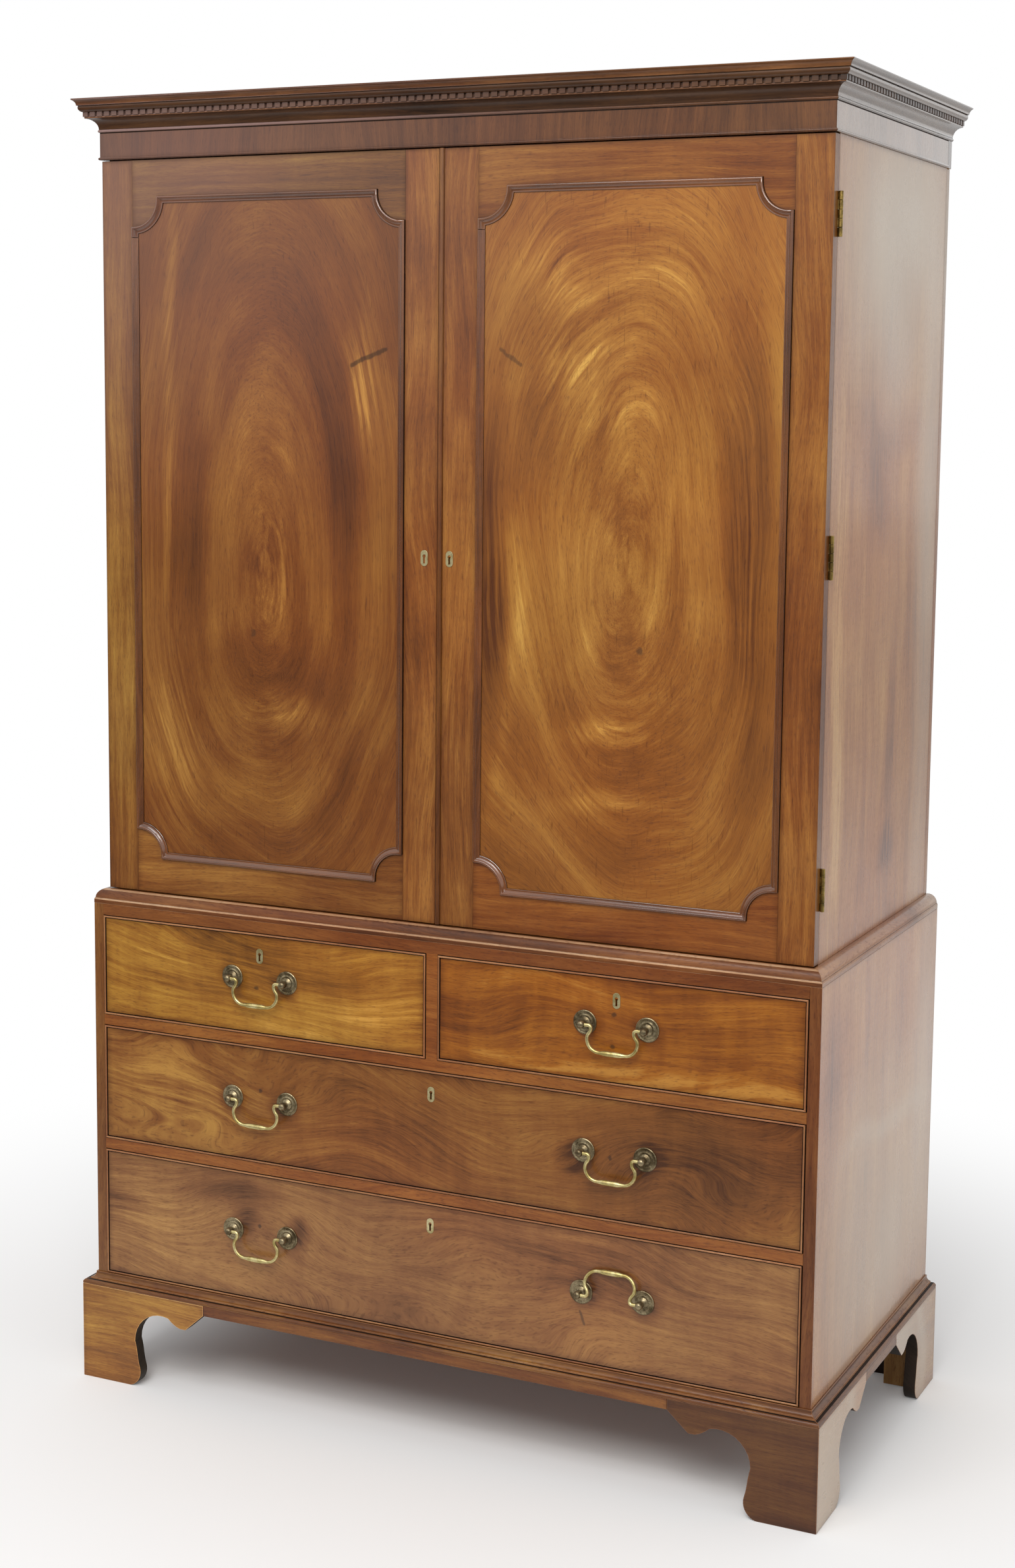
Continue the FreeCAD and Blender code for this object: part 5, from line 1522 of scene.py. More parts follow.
@dataclass
class Hinge:
    """A butt hinge with five knuckles, in two halves."""

    levels: Levels
    length: float = 62.0
    leaf: float = 14.0
    metal: float = 1.8
    radius: float = 3.2
    knuckles: int = 5
    gap: float = 0.25

    def beds(self, way: int, front: float, back: float) -> list[Piece]:
        """Make the cutters for the beds of one side's leaves.

        Args:
            way: 1 for the right-hand side, -1 for the left-hand one.
            front: The depth at which the beds start.
            back: The depth at which they end.

        Returns:
            The cutters.
        """
        low, high = sorted((way * (self.levels.half_cupboard - self.leaf), way * (self.levels.half_cupboard + 1)))
        half = self.length / 2
        return [block((low, front, level - half), (high, back, level + half)) for level in self.levels.hinge_levels]

    def half(self, level: float, on_door: bool) -> Piece:
        """Make one right-hand half.

        Args:
            level: The height of the hinge's middle.
            on_door: Whether it is the door's half, which has the even knuckles.

        Returns:
            The half, in brass.
        """
        low = level - self.length / 2
        pitch = self.length / self.knuckles
        run = pitch - self.gap
        y_low = self.levels.door_back - self.metal if on_door else self.levels.cupboard_front
        edge = self.levels.half_cupboard
        axis_x, axis_y = self.levels.hinge_axis
        profile = [(0, 0), (self.radius - 0.5, 0), (self.radius, 0.5), (self.radius, run - 0.5),
                   (self.radius - 0.5, run), (0, run)]
        parts = [block((edge - self.leaf, y_low, low), (edge, y_low + self.metal, low + self.length))]
        for step in range(int(on_door), self.knuckles, 2):
            start = low + step * pitch + self.gap / 2
            parts.append(spun(profile, spot(axis_x, axis_y, start), Z_AXIS, X_AXIS, 20))
            parts.append(block((edge, y_low, start), (axis_x, y_low + self.metal, start + run)))
        return dress(joined([smoothed(part) for part in parts]), Finish.BRASS)

    def make(self) -> None:
        """Make all halves, each copied from one and mirrored for the left."""
        first, *others = self.levels.hinge_levels
        for on_door in (False, True):
            model = self.half(first, on_door)
            rights = [model] + [copied(model, Matrix.Translation(Z_AXIS * (level - first) * MILLIMETRE))
                                for level in others]
            lefts = [mirror_image(part) for part in rights]
            if on_door:
                for door, halves in (("right_door", rights), ("left_door", lefts)):
                    place(joined(halves), door + "_hinge_halves", door, "brass", door + "_hinge_leaves")
            else:
                place(joined(rights + lefts), "cupboard_hinge_halves", "root", "brass", "fixed_hinge_leaves")


def lock_case(case: tuple[Spot, Spot], channel: tuple[Spot, Spot]) -> Piece:
    """Make a lock's case between two corners, with the channel that its bolt runs in."""
    return dress(smoothed(eased(carved(block(*case), block(*channel)), 0.4, 1)), Finish.BRASS)


@dataclass
class KeyPlate:
    """A brass plate with round ends and a keyhole."""

    width: float = 12.0
    height: float = 24.0
    thickness: float = 0.8
    hole_radius: float = 2.6
    hole_lift: float = 3.0
    half_slot: float = 1.5
    slot_drop: float = 8.0
    overcut: float = 3.0

    def make(self, x: float, z: float, face: float) -> Piece:
        """Make a plate on a face.

        Args:
            x: Its middle across.
            z: Its middle height.
            face: The depth of the face it is planted on.

        Returns:
            The plate.
        """
        radius = self.width / 2
        straight = self.height / 2 - radius
        outline = Outline(radius, -straight, 12).line(radius, straight).bend((0, 1), -radius, straight)
        outline.line(-radius, -straight).bend((0, -1), radius, -straight)
        plate = drawn(outline.spots[:-1], spot(x, face - self.thickness, z), X_AXIS, Z_AXIS,
                      Y_AXIS * self.thickness * MILLIMETRE)
        front, back = face - self.overcut, face + self.overcut
        eye = drawn(circle(self.hole_radius, 20), spot(x, front, z + self.hole_lift), X_AXIS, Z_AXIS,
                    Y_AXIS * (back - front) * MILLIMETRE)
        plate = carved(eased(plate, 0.3, 2, 60), eye, self.slot(x, z, front, back))
        # The plate's edges take the dark finish: dirt and painted shade round the plate.
        return dress(smoothed(marked(plate, 1, lambda face: abs(face.normal.y) < 0.3)), Finish.KEY_PLATE, Finish.DIRT)

    def slot(self, x: float, z: float, front: float, back: float) -> Piece:
        """Make the cutter for a plate's slot, or for the hole in the wood behind it, between two depths."""
        return block((x - self.half_slot, front, z - self.slot_drop), (x + self.half_slot, back, z + self.hole_lift))


@dataclass
class SwanHandle:
    """A swan-necked bail between two posts on round rosettes."""

    pitch: float = 99.0
    reach: float = 15.0
    lean: float = 14.0
    wire: float = 2.7
    grip: float = 4.2
    neck: float = 34.0
    turn: float = 4.0
    waist: float = 40.0
    waist_drop: float = 20.0
    shoulder: float = 19.0
    drop: float = 39.5
    grip_start: float = 21.0
    pin_end: float = 48.0
    shank: float = 5.0
    front: float = 22.0
    nut: float = 14.0
    nut_thickness: float = 4.0

    def post(self) -> Piece:
        """Make a rosette and post round the origin of the face, for copying.

        Returns:
            The post.
        """
        profile = [(0, 0), (18.2, 0), (18.5, 0.4), (18.4, 1.5), (17.6, 2.2), (16.4, 2.1), (15.6, 1.4), (14.2, 1.1),
                   (12.6, 1.3), (11.6, 2.0), (10.4, 2.3), (9.2, 1.9), (8.4, 1.7), (7.6, 2.3), (6.0, 3.4), (4.4, 4.6),
                   (3.7, 6.4), (3.6, 8.2), (4.4, 9.6), (5.3, 10.6), (5.7, 12.4), (5.8, 15.0), (5.6, 17.4),
                   (4.9, 19.2), (3.6, 20.4), (1.8, 20.9), (0, 21.0)]
        turning = smoothed(spun(profile, spot(0, 0, 0), -Y_AXIS, X_AXIS, 32), 40)
        half = self.shank / 2
        shank = block((-half, 0, -half), (half, self.front, half))
        half = self.nut / 2
        nut = eased(block((-half, self.front, -half), (half, self.front + self.nut_thickness, half)), 0.8)
        return dress(joined([turning, shank, nut]), Finish.ROSETTE)

    def path(self) -> list[Spot]:
        """Lay out the bail from one end to the other.

        Returns:
            Across, up and the radius at each step, in millimetres.
        """
        outline = Outline(self.neck + self.turn, 0, 6).bend((-1, 0), self.neck, -self.turn)
        middle = ((self.neck + self.waist) / 2, -(self.turn + self.waist_drop) / 2)
        outline.smooth(*middle).smooth(self.waist, -self.waist_drop)
        outline.arc_steps = 12
        outline.smooth(self.waist - self.shoulder, -self.drop)
        half = [(self.pin_end, 0.0, self.wire), (self.neck + self.turn + 3, 0.0, self.wire)]
        half += [(across, up, self.wire) for across, up in outline.spots]
        for share, grown in ((0.9, 0.12), (0.75, 0.45), (0.6, 0.85), (0.4, 1.0), (0.2, 1.0)):
            half.append((self.grip_start * share, -self.drop, self.wire + (self.grip - self.wire) * grown))
        return half + [(0.0, -self.drop, self.grip)] + [(-across, up, radius) for across, up, radius in reversed(half)]

    def bail(self) -> Piece:
        """Make a hanging bail round the origin of the face, for copying.

        Returns:
            The bail.
        """
        path = self.path()
        points = [spot(across, -self.reach, up) for across, up, _ in path]
        frames = []
        for before, point, after, (_, _, radius) in zip(points[:1] + points, points, points[1:] + points[-1:], path):
            along = (after - before).normalized()
            frames.append(path_frame(point, Y_AXIS.cross(along).normalized() * radius, Y_AXIS * radius, along))
        return dress(smoothed(swept(circle(1, 14), frames, False), 50), Finish.BAIL)


@dataclass
class Drawer:
    """One drawer: its figured front with cock beads, its brasses and its bails."""

    levels: Levels
    name: str
    left: float
    right: float
    low: float
    high: float
    key_x: float
    handles: tuple[tuple[float, str, bool], ...]
    seed: float
    tone: float = 1.0
    warmth: float = 0.0
    gap: float = 1.0
    thickness: float = 22.0
    bead: float = 3.0
    bead_depth: float = 10.0
    bead_proud: float = 2.2
    groove: float = 1.3
    handle_lift: float = 8.0
    key_drop: float = 37.0
    lock_width: float = 56.0
    lock_height: float = 50.0
    lock_depth: float = 10.0
    lock_wall: float = 1.5
    bolt_width: float = 26.0
    bolt_depth: float = 5.0
    bolt_height: float = 20.0
    slide_gap: float = 0.4

    def front(self) -> Piece:
        """Make the front with the beads round it.

        Returns:
            The front.
        """
        left, right = self.left + self.gap, self.right - self.gap
        low, high = self.low + self.gap, self.high - self.gap
        bead, depth, back = self.bead, self.bead_depth, self.thickness
        key_x, key_z, half = self.key_x, self.high - self.key_drop, self.lock_width / 2
        # The face's rounded edges take the dark finish as painted shade in the groove beside the beads.
        face = eased(block((left + bead, 0, low + bead), (right - bead, depth, high - bead)), self.groove, 1, worn=True)
        face = carved(face, KeyPlate().slot(key_x, key_z, -1, depth))
        lock_hole = block((key_x - half, back - self.lock_depth, high - self.lock_height),
                          (key_x + half, back + 1, high + 1))
        body = carved(block((left, depth, low), (right, back, high)), lock_hole,
                      KeyPlate().slot(key_x, key_z, depth - 1, back + 1))
        grain = Grain(X_AXIS, Z_AXIS, self.seed, self.tone, self.warmth)
        parts = [finished(face, grain, Finish[self.name.upper()], Finish.DIRT), finished(body, grain, Finish.CARCASS)]
        return joined(parts + self.beads(left, right, low, high))

    def beads(self, left: float, right: float, low: float, high: float) -> list[Piece]:
        """Make four mitred beads with round noses.

        Args:
            left: The front's left edge.
            right: Its right edge.
            low: Its lower edge.
            high: Its upper edge.

        Returns:
            The beads.
        """
        nose = self.bead / 2 - self.bead_proud
        section = Outline(0, self.bead_depth, 8).line(0, nose).bend((0, -1), self.bead, nose)
        section.line(self.bead, self.bead_depth)
        wide, tall = X_AXIS * (right - left) * MILLIMETRE, Z_AXIS * (high - low) * MILLIMETRE
        corners = [(left, low), (right, low), (left, high), (right, high)]
        runs = [(0, 1, Z_AXIS, wide), (2, 3, -Z_AXIS, wide), (0, 2, X_AXIS, tall), (1, 3, -X_AXIS, tall)]
        made = []
        for number, (first, last, inwards, run) in enumerate(runs):
            along = run.normalized()
            strip = drawn(section.spots, spot(corners[first][0], 0, corners[first][1]), inwards, Y_AXIS, run)
            for corner, away in ((first, inwards - along), (last, inwards + along)):
                strip = sawn(strip, spot(corners[corner][0], 0, corners[corner][1]), away.normalized())
            # The beads take the pale finish of wear and painted highlights, and their sides the dark finish of painted
            # shade in the gaps.
            grain = Grain(along, Z_AXIS if along.x else X_AXIS, self.seed + number * 0.2, 0.78 * self.tone, 0.1)
            strip = marked(strip, 1, lambda face: abs(face.normal.y) < 0.5)
            made.append(finished(strip, grain, Finish.WORN, Finish.DIRT, degrees=50))
        return made

    def lock(self) -> Piece:
        """Make the lock's case, which is open upwards round its bolt.

        Returns:
            The case.
        """
        high, back, half = self.high - self.gap, self.thickness, self.lock_width / 2
        front = back - self.lock_depth
        case = ((self.key_x - half, front, high - self.lock_height), (self.key_x + half, back, high))
        half, bolt_front = self.bolt_width / 2 + self.slide_gap, front + self.lock_wall
        return lock_case(case, ((self.key_x - half, bolt_front, high - self.bolt_height - self.slide_gap),
                                (self.key_x + half, bolt_front + self.bolt_depth + 2 * self.slide_gap, high + 1)))

    def make(self, handle: SwanHandle, post: Piece, bail: Piece) -> None:
        """Make the drawer.

        Args:
            handle: The handle's sizes.
            post: The post that is copied.
            bail: The bail that is copied.
        """
        place(self.front(), self.name + "_front_board", self.name, "mahogany_figured", self.name + "_front")
        brasses = [KeyPlate().make(self.key_x, self.high - self.key_drop, 0), self.lock()]
        handle_z = (self.low + self.high) / 2 + self.handle_lift
        for middle, bail_name, raised in self.handles:
            for side in (-1, 1):
                move = Vector((middle + side * handle.pitch / 2, 0, handle_z)) * MILLIMETRE
                brasses.append(copied(post, Matrix.Translation(move)))
            change = Matrix.Translation(Vector((middle, 0, handle_z)) * MILLIMETRE)
            if raised:
                pivot = spot(0, -handle.reach, 0)
                turn = Matrix.Rotation(math.radians(-180 - handle.lean), 4, "X")
                change = change @ Matrix.Translation(pivot) @ turn @ Matrix.Translation(-pivot)
            place(copied(bail, change), bail_name + "_wire", bail_name, "brass", bail_name)
        place(joined(brasses), self.name + "_fittings", self.name, "brass", self.name + "_brasses")
        dress_nodes(Finish.LINING_Y, self.name + "_box")
        dress_nodes(Finish.BRASS, self.name + "_lock_bolt")


@dataclass
class Door:
    """A panelled door: frame with ears, flat panel and planted moulding with swept-in corners."""

    levels: Levels
    name: str
    left: float
    right: float
    panel_finish: Finish
    seed: float
    tones: tuple[Flat, ...]
    margin: float = 61.0
    width: float = 11.0
    proud: float = 6.0
    sweep: float = 46.0
    sweep_steps: int = 14
    recess: float = 1.0
    panel_thickness: float = 9.0
    tongue: float = 8.0
    strike: Spot = (28.5, 35.5, 28.0)
    strike_depth: float = 9.0

    def rail_outline(self, upper: bool) -> list[Flat]:
        """Draw a rail with its two ears, as seen from the front.

        Args:
            upper: Whether it is the top rail.

        Returns:
            The outline's corners.
        """
        edge, way = (self.levels.door_top, -1) if upper else (self.levels.door_bottom, 1)
        inset, radius = self.margin - self.width / 2, self.sweep - self.width / 2
        ear = [(inset, 0.0), (inset, self.margin + radius)]
        for step in range(self.sweep_steps + 1):
            angle = math.pi / 2 * (1 - step / self.sweep_steps)
            ear.append((self.margin + radius * math.cos(angle), self.margin + radius * math.sin(angle)))
        ear.append((self.margin + radius, inset))
        right = [(self.right - across, edge + way * up) for across, up in ear]
        left = [(self.left + across, edge + way * up) for across, up in ear]
        return left[:1] + right + left[:0:-1]

    def frame_boards(self) -> list[Piece]:
        """Make the two stiles and two rails.

        Returns:
            The four boards.
        """
        levels, inset = self.levels, self.margin - self.width / 2
        front, back = levels.door_front, levels.door_back
        boards = []
        for number, (low, high) in enumerate(((self.left, self.left + inset), (self.right - inset, self.right))):
            stile = eased(block((low, front, levels.door_bottom), (high, back, levels.door_top)), 0.6)
            grain = Grain(Z_AXIS, X_AXIS, self.seed + number * 0.7, *self.tones[number])
            boards.append(finished(self.let_in(stile, number), grain, Finish.CARCASS))
        for number, upper in enumerate((True, False)):
            rail = drawn(self.rail_outline(upper), spot(0, front, 0), X_AXIS, Z_AXIS,
                         Y_AXIS * (back - front) * MILLIMETRE)
            grain = Grain(X_AXIS, Z_AXIS, self.seed + 2.1 + number, *self.tones[2 + number])
            boards.append(finished(eased(rail, 0.4, 2, 50), grain, Finish.CARCASS))
        return boards

    def let_in(self, stile: Piece, number: int) -> Piece:
        """Cut the beds for hinges and lock into a stile.

        Args:
            stile: The stile.
            number: 0 for the left-hand one, 1 for the right-hand one.

        Returns:
            The same stile.
        """
        is_right, middle = self.name == "right_door", self.levels.key_level
        front, back = self.levels.door_front, self.levels.door_back
        if (number == 1) == is_right:
            return carved(stile, *Hinge(self.levels).beds(1 if is_right else -1, back - Hinge.metal, back + 1))
        if is_right:
            brasses = DoorBrasses(self.levels)
            half = brasses.lock_height / 2
            lock_bed = block((self.left - 1, back - brasses.lock_depth, middle - half),
                             (self.left + brasses.lock_width, back + 1, middle + half))
            key_x = self.left + brasses.right_key
            return carved(stile, lock_bed, KeyPlate().slot(key_x, middle, front - 1, front + brasses.key_depth))
        strike_front, strike_back, height = self.strike
        return carved(stile, block((self.right - self.strike_depth, strike_front, middle - height / 2),
                                   (self.right + 1, strike_back, middle + height / 2)))

    def moulding_section(self) -> list[Flat]:
        """Draw the moulding's section.

        Returns:
            Across from the frame side, and how proud, at each corner.
        """
        half = self.width / 2
        outline = Outline(-half, 0, 5).line(-half, self.proud - 2.5).bend((0, 1), -half + 2.5, self.proud)
        outline.bend((1, 0), -half + 4.6, self.proud - 1.6).line(-half + 5.2, self.proud - 2.0)
        outline.bend((0.6, -1), half - 0.6, 1.9).line(half, 1.5).line(half, 0)
        return outline.spots

    def moulding(self) -> Piece:
        """Sweep the moulding round the panel.

        Returns:
            The moulding.
        """
        front = self.levels.door_front + self.recess
        left, right = self.left + self.margin, self.right - self.margin
        low, high = self.levels.door_bottom + self.margin, self.levels.door_top - self.margin
        seam = spot(left, front, high - self.sweep - self.width - 1)
        path = [seam + Z_AXIS * MILLIMETRE]
        for turns, (x, z) in enumerate(((left, high), (right, high), (right, low), (left, low))):
            for step in range(self.sweep_steps + 1):
                angle = math.pi / 2 * (step / self.sweep_steps - turns - 1)
                path.append(spot(x + self.sweep * math.cos(angle), front, z + self.sweep * math.sin(angle)))
        path.append(seam)
        frames = []
        for before, point, after in zip(path[-1:] + path, path, path[1:] + path[:1]):
            heading = (after - point).normalized()
            along = ((point - before).normalized() + heading).normalized()
            frames.append(path_frame(point, Y_AXIS.cross(along) / along.dot(heading), -Y_AXIS, along))
        section = self.moulding_section()
        made = lay_along(swept(section, frames, True), section, frames, self.seed + 5)
        # The moulding's sides take the dark finish: dirt and painted shade along both its edges.
        made = marked(made, 1, lambda face: abs(face.normal.y) < 0.3)
        return dress(smoothed(made, 40), Finish.MOULDING, Finish.DIRT)

    def panel(self) -> Piece:
        """Make the flat panel, whose edges run into the frame.

        Returns:
            The panel.
        """
        inset, front = self.margin - self.width / 2 - self.tongue, self.levels.door_front + self.recess
        low = (self.left + inset, front, self.levels.door_bottom + inset)
        high = (self.right - inset, front + self.panel_thickness, self.levels.door_top - inset)
        return board(low, high, Grain(Z_AXIS, X_AXIS, self.seed + 4), self.panel_finish, 0.5)

    def make(self) -> None:
        """Make the door without its brasses."""
        place(joined(self.frame_boards()), self.name + "_frame_boards", self.name, "mahogany", self.name + "_frame")
        place(self.panel(), self.name + "_panel_board", self.name, "mahogany_figured", self.name + "_panel")
        place(self.moulding(), self.name + "_bead_moulding", self.name, "mahogany_dark", self.name + "_moulding")


@dataclass
class DoorBrasses:
    """The doors' lock, bolts, key plates and the bead where they meet."""

    levels: Levels
    left_edge: float = -5.0
    right_edge: float = 4.0
    plate_length: float = 100.0
    plate_width: float = 20.0
    plate: float = 1.6
    plate_start: float = 3.0
    staple: float = 12.0
    staple_inset: float = 4.0
    bolt: float = 6.0
    clearance: float = 0.2
    wall: float = 1.5
    upper_tip: float = 1955.5
    lower_tip: float = 826.5
    bolt_inset: float = 22.0
    left_key: float = 21.0
    right_key: float = 12.0
    key_depth: float = 12.0
    lock_width: float = 48.0
    lock_height: float = 60.0
    lock_depth: float = 10.0
    channel_back: float = 8.9
    channel_front: float = 3.1
    channel_height: float = 26.8
    channel_width: float = 16.8
    bead_half: float = 4.0

    def bolt_plate(self, tip: float, way: int) -> Piece:
        """Make a backplate with two staples.

        Args:
            tip: The height of the bolt's tip.
            way: 1 where the door lies above the tip, or -1.

        Returns:
            The plate.
        """
        x, back = self.left_edge - self.bolt_inset, self.levels.door_back
        face, half = back + self.plate, self.plate_width / 2
        start, bore = tip + way * self.plate_start, self.bolt / 2 + self.clearance
        low, high = sorted((start, start + way * self.plate_length))
        parts = [block((x - half, back, low), (x + half, face, high))]
        middle, half = face + bore, self.staple / 2
        for inset in (self.staple_inset, self.plate_length - self.staple_inset - self.staple):
            low, high = sorted((start + way * inset, start + way * (inset + self.staple)))
            loop = block((x - half, face - 0.3, low), (x + half, middle + bore + self.wall, high))
            parts.append(carved(loop, block((x - bore, face - 1, low - 1), (x + bore, middle + bore, high + 1))))
        return dress(joined([smoothed(eased(part, 0.5)) for part in parts]), Finish.BRASS)

    def channel(self, left: float, right: float, half: float) -> tuple[Spot, Spot]:
        """Give two corners of the channel that the lock's bolt runs in, so many millimetres above and below."""
        back, level = self.levels.door_back, self.levels.key_level
        return (left, back - self.channel_back, level - half), (right, back - self.channel_front, level + half)

    def lock(self) -> Piece:
        """Make the right door's lock case, with the channel that its bolt runs in.

        Returns:
            The case.
        """
        back, level, half = self.levels.door_back, self.levels.key_level, self.lock_height / 2
        case = ((self.right_edge, back - self.lock_depth, level - half),
                (self.right_edge + self.lock_width, back, level + half))
        return lock_case(case, self.channel(0, self.channel_width, self.channel_height / 2))

    def meeting_bead(self) -> Piece:
        """Make the round-nosed strip on the right door's meeting edge.

        Returns:
            The strip.
        """
        levels, side = self.levels, self.bead_half
        outline = Outline(-side, levels.door_back, 12).line(-side, levels.door_front)
        outline.bend((0, -1), side, levels.door_front).line(side, levels.door_back)
        run = Z_AXIS * (levels.door_top - levels.door_bottom) * MILLIMETRE
        strip = drawn(outline.spots, spot(0, 0, levels.door_bottom), X_AXIS, Y_AXIS, run)
        strip = carved(strip, block(*self.channel(-side - 2, side + 2, self.channel_height / 2)))
        return finished(eased(strip, 0.3, 1, 60), Grain(Z_AXIS, X_AXIS, 7.7, 0.85), Finish.CARCASS, degrees=40)

    def make(self) -> None:
        """Make all the doors' brasses and the bead."""
        level, front = self.levels.key_level, self.levels.door_front
        left = [KeyPlate().make(self.left_edge - self.left_key, level, front),
                self.bolt_plate(self.upper_tip, -1), self.bolt_plate(self.lower_tip, 1)]
        place(joined(left), "left_door_fittings", "left_door", "brass", "left_door_brasses")
        right = [KeyPlate().make(self.right_edge + self.right_key, level, front), self.lock()]
        place(joined(right), "right_door_fittings", "right_door", "brass", "right_door_brasses")
        place(self.meeting_bead(), "meeting_bead_strip", "right_door", "mahogany_dark", "meeting_bead")
        dress_nodes(Finish.BRASS, "left_door_top_bolt", "left_door_bottom_bolt", "right_door_lock_bolt")


@dataclass
class Cupboard:
    """The cupboard's case and its sliding trays."""

    levels: Levels
    side: float = 18.0
    planks: int = 4

    def back(self) -> None:
        """Make the upright planks of the back, whose outer edges are finished like the sides."""
        levels = self.levels
        pitch = levels.half_cupboard * 2 / self.planks
        made = []
        for number in range(self.planks):
            left = number * pitch - levels.half_cupboard
            grain = Grain(Z_AXIS, X_AXIS, 0.7 + number * 1.3, 1.0 + 0.16 * math.sin(number * 2.3))
            plank = board((left, levels.cupboard_rear, levels.chest_top),
                          (left + pitch, levels.depth, levels.cupboard_top), grain, Finish.BACK, 1.5)
            made.append(ended(plank, Finish.BACK, Finish.SIDE) if number in (0, self.planks - 1) else plank)
        place(joined(made), "cupboard_back_planks", "root", "lining_wood", "cupboard_back")

    def make(self) -> None:
        """Make the sides and dress the boards and trays."""
        levels = self.levels
        front = levels.cupboard_front
        sides = []
        # The right side takes the paler finish of painted sheen; the left one stays darker.
        for way, seed, finish in ((1, 11.3, Finish.SIDE), (-1, 12.9, Finish.LEFT_SIDE)):
            low, high = sorted((way * (levels.half_cupboard - self.side), way * levels.half_cupboard))
            side = block((low, front, levels.chest_top), (high, levels.cupboard_rear, levels.cupboard_top))
            side = carved(side, *Hinge(levels).beds(way, front - 1, front + Hinge.metal))
            sides.append(finished(eased(side, 0.5), Grain(Z_AXIS, Y_AXIS, seed), finish))
        place(joined(sides), "cupboard_side_boards", "root", "mahogany", "cupboard_sides")
        self.back()
        dress_nodes(Finish.LINING_Y, "tray_runners")
        dress_nodes(Finish.INSIDE, "cupboard_boards", "tray_1", "tray_2", "tray_3", "tray_4")


# ---- the studio ----
@dataclass(frozen=True)
class Studio:
    """The pale floor, the soft lights and the camera."""

    eye: Spot = (1.623, -3.4875, 1.620)
    yaw: float = 25.57
    pitch: float = -7.26
    roll: float = 0.52
    lens: float = 55.47
    shift: Flat = (0.0109, -0.0517)
    soft: float = 0.55
    behind: float = 0.12

    def camera(self) -> None:
        """Set the camera up at its place."""
        yaw, pitch, roll = (math.radians(angle) for angle in (self.yaw, self.pitch, self.roll))
        forward = Vector((-math.sin(yaw) * math.cos(pitch), math.cos(yaw) * math.cos(pitch), math.sin(pitch)))
        right = Vector((math.cos(yaw), math.sin(yaw), 0))
        up = right.cross(forward)
        right, up = (math.cos(roll) * right + math.sin(roll) * up, math.cos(roll) * up - math.sin(roll) * right)
        data = bpy.data.cameras.new("camera")
        data.lens = self.lens
        data.sensor_width = 36
        data.shift_x, data.shift_y = self.shift
        data.clip_end = 60
        eye = bpy.data.objects.new("camera", data)
        eye.matrix_world = Matrix.Translation(self.eye) @ Matrix((right, up, forward * -1)).transposed().to_4x4()
        bpy.context.collection.objects.link(eye)
        bpy.context.scene.camera = eye

    @staticmethod
    def seen(paint: Paint) -> Value:
        """Say whether a ray shows the studio itself: to the camera, in a gloss or through glass.

        Args:
            paint: The nodes that ask.

        Returns:
            1 where it does.
        """
        path = paint.node("ShaderNodeLightPath")
        seen = Value(paint, path.outputs["Is Camera Ray"]).most(Value(paint, path.outputs["Is Glossy Ray"]))
        return seen.most(Value(paint, path.outputs["Is Transmission Ray"]))

    def floor(self) -> None:
        """Lay the pale floor, which is white far away, where it meets the background."""
        put_down()
        bpy.ops.mesh.primitive_plane_add(size=60, location=(0, 0, 0))
        floor = bpy.context.active_object
        floor.name = "floor"
        paint = Paint("pale_floor")
        place_here = paint.node("ShaderNodeTexCoord").outputs["Object"]
        away = Value(paint, paint.node("ShaderNodeVectorMath", {"operation": "LENGTH"}, {0: place_here}).outputs[1])
        _, ahead, _ = paint.parts(place_here)
        camera = Value(paint, paint.node("ShaderNodeLightPath").outputs["Is Camera Ray"])
        level = (ahead.fade(-2.5, 1.0) * 0.86 - ahead.fade(2.5, 8.0) * 0.45 + self.behind).most(camera)
        shader = paint.node("ShaderNodeBsdfDiffuse", None, {"Color": (0.94, 0.94, 0.94)})
        glow = paint.node("ShaderNodeEmission", None, {"Color": level, "Strength": 1.0})
        far = (away.fade(0.5, 2.4) * self.seen(paint)).most(away.fade(0.35, 1.9) * camera)
        both = paint.node("ShaderNodeMixShader", None, {0: far, 1: shader.outputs[0], 2: glow.outputs[0]})
        paint.node("ShaderNodeOutputMaterial", None, {"Surface": both.outputs[0]})
        floor.data.materials.append(paint.material)

    def world(self) -> None:
        """Surround the press with soft light. What is seen of it is white, and dimmer behind the camera."""
        world = bpy.data.worlds.new("studio")
        bpy.context.scene.world = world
        paint = Paint("studio", world)
        _, ahead, above = paint.parts(paint.node("ShaderNodeTexCoord").outputs["Generated"])
        camera = Value(paint, paint.node("ShaderNodeLightPath").outputs["Is Camera Ray"])
        level = (ahead.fade(-0.6, 0.5) + above.fade(-0.02, 0.13) * 0.9 + self.behind).least(1.0).most(camera)
        soft = paint.node("ShaderNodeBackground", None, {"Color": (1.0, 1.0, 1.0), "Strength": self.soft})
        white = paint.node("ShaderNodeBackground", None, {"Color": level, "Strength": 1.0})
        both = paint.node("ShaderNodeMixShader", None, {0: self.seen(paint), 1: soft.outputs[0], 2: white.outputs[0]})
        paint.node("ShaderNodeOutputWorld", None, {"Surface": both.outputs[0]})

    def lamp(self, name: str, position: Spot, target: Spot,
             size: Flat, power: float, colour: Colour) -> None:
        """Hang one soft rectangular lamp.

        Args:
            name: Its name.
            position: Where it hangs.
            target: What it points at.
            size: Its width and height.
            power: Its power in watts.
            colour: Its colour.
        """
        data = bpy.data.lights.new(name, "AREA")
        data.shape = "RECTANGLE"
        data.size, data.size_y = size
        data.energy = power
        data.color = colour
        lamp = bpy.data.objects.new(name, data)
        lamp.location = position
        lamp.rotation_euler = (Vector(target) - Vector(position)).to_track_quat("-Z", "Y").to_euler()
        bpy.context.collection.objects.link(lamp)

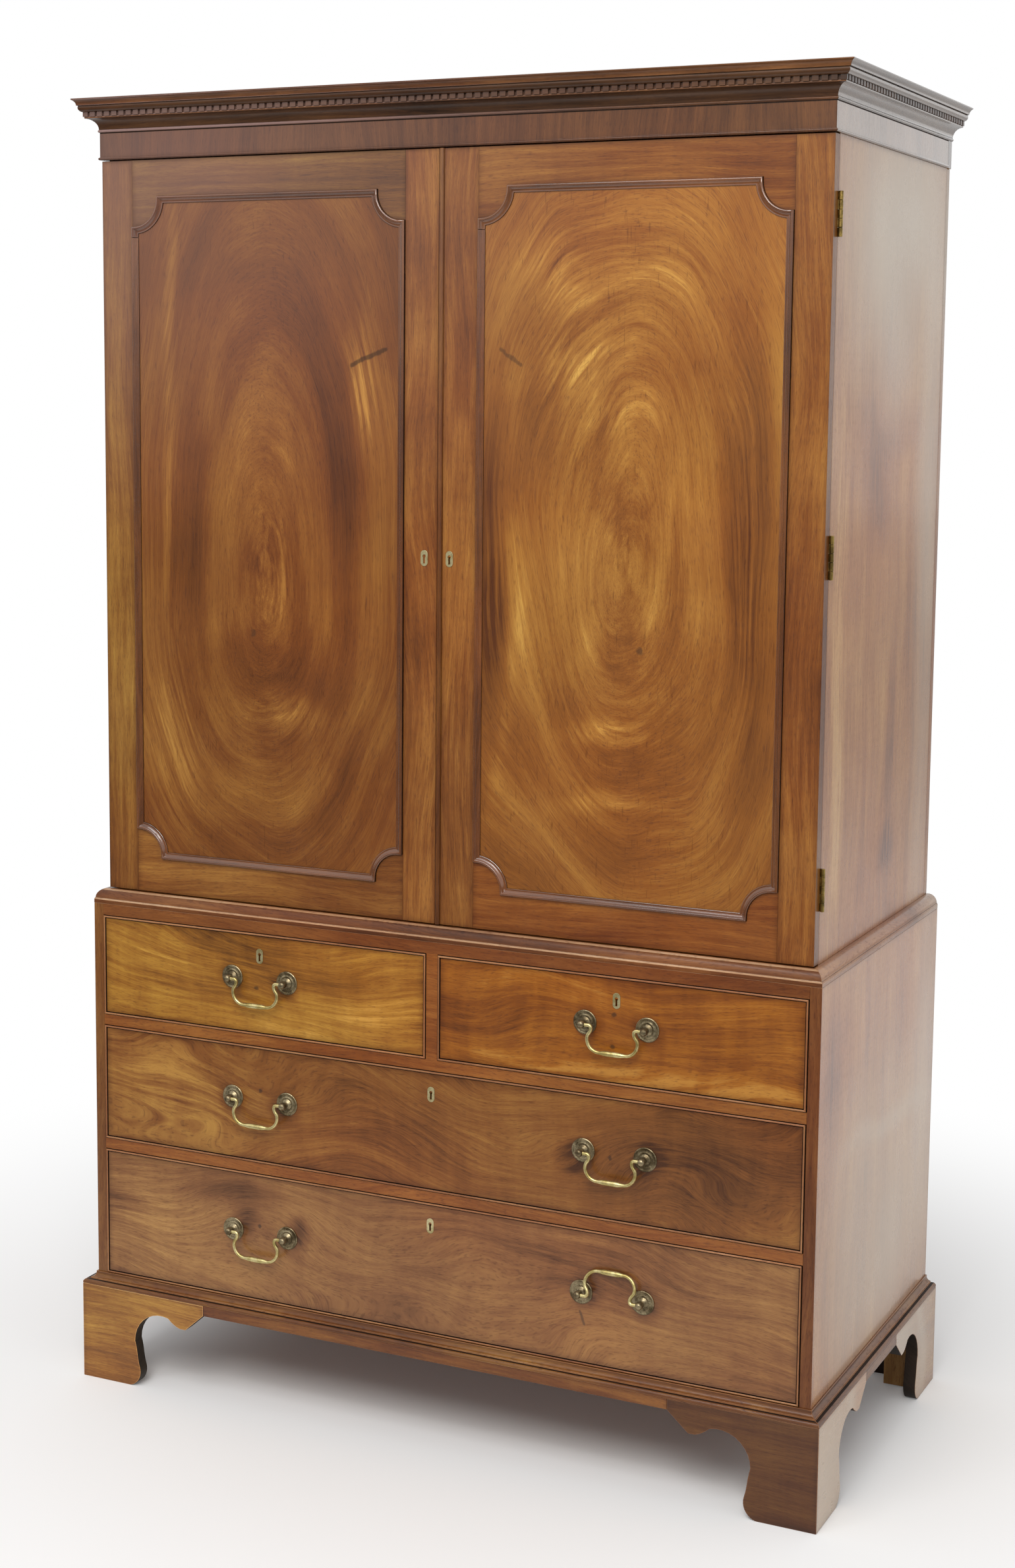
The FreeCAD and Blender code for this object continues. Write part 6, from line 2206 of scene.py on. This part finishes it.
    def make(self) -> None:
        """Set up the studio."""
        bpy.context.scene.view_settings.view_transform = "Standard"
        self.camera()
        self.floor()
        self.world()
        self.lamp("key", (1.2, -4.0, 4.0), (0, 0, 1.0), (2.6, 2.0), 130, (1.0, 0.98, 0.95))
        self.lamp("fill", (-0.4, -3.0, 5.0), (0, 0, 1.0), (2.4, 1.6), 60, (0.97, 0.98, 1.0))


def build() -> None:
    """Make the press, sub-assembly by sub-assembly."""
    levels = Levels()
    Plinth(levels).make()
    Chest(levels).make()
    Waist(levels).make()
    Cupboard(levels).make()
    Cornice(levels).make()
    Hinge(levels).make()
    handle = SwanHandle()
    post, bail = handle.post(), handle.bail()
    muntin = 9.5
    inside, middle = levels.half_inside, levels.handle_middle
    drawers = [
        Drawer(levels, "top_left_drawer", -inside, -muntin, levels.top_opening, levels.top_opening_top,
               -middle, ((-middle, "top_left_bail", False),), 1.7, 1.04, -0.1),
        Drawer(levels, "top_right_drawer", muntin, inside, levels.top_opening, levels.top_opening_top,
               middle, ((middle, "top_right_bail", False),), 2.9, 0.98, 0.25),
        Drawer(levels, "middle_drawer", -inside, inside, levels.middle_opening, levels.middle_opening_top,
               0, ((-middle, "middle_left_bail", False), (middle, "middle_right_bail", False)), 4.3, 0.95),
        Drawer(levels, "bottom_drawer", -inside, inside, levels.floor_top, levels.bottom_opening_top,
               0, ((-middle, "bottom_left_bail", False), (middle, "bottom_right_bail", True)), 6.1, 0.95),
    ]
    for drawer in drawers:
        drawer.make(handle, post, bail)
    for model in (post, bail):
        bpy.data.objects.remove(model)
    # The left door's top rail is tinted cooler, standing in for the sheen of reflected light.
    Door(levels, "left_door", -levels.half_cupboard, -5.0, Finish.LEFT_PANEL, 13.7,
         ((1.05, -0.6), (1.08, 0.05), (0.86, -0.8), (0.90, 0.1))).make()
    Door(levels, "right_door", 4.0, levels.half_cupboard, Finish.RIGHT_PANEL, 17.1,
         ((1.0, 0.05), (1.0, 0.15), (0.86, 0.2), (0.80, 0.7))).make()
    DoorBrasses(levels).make()
    Studio().make()


if __name__ == "__main__":
    build()
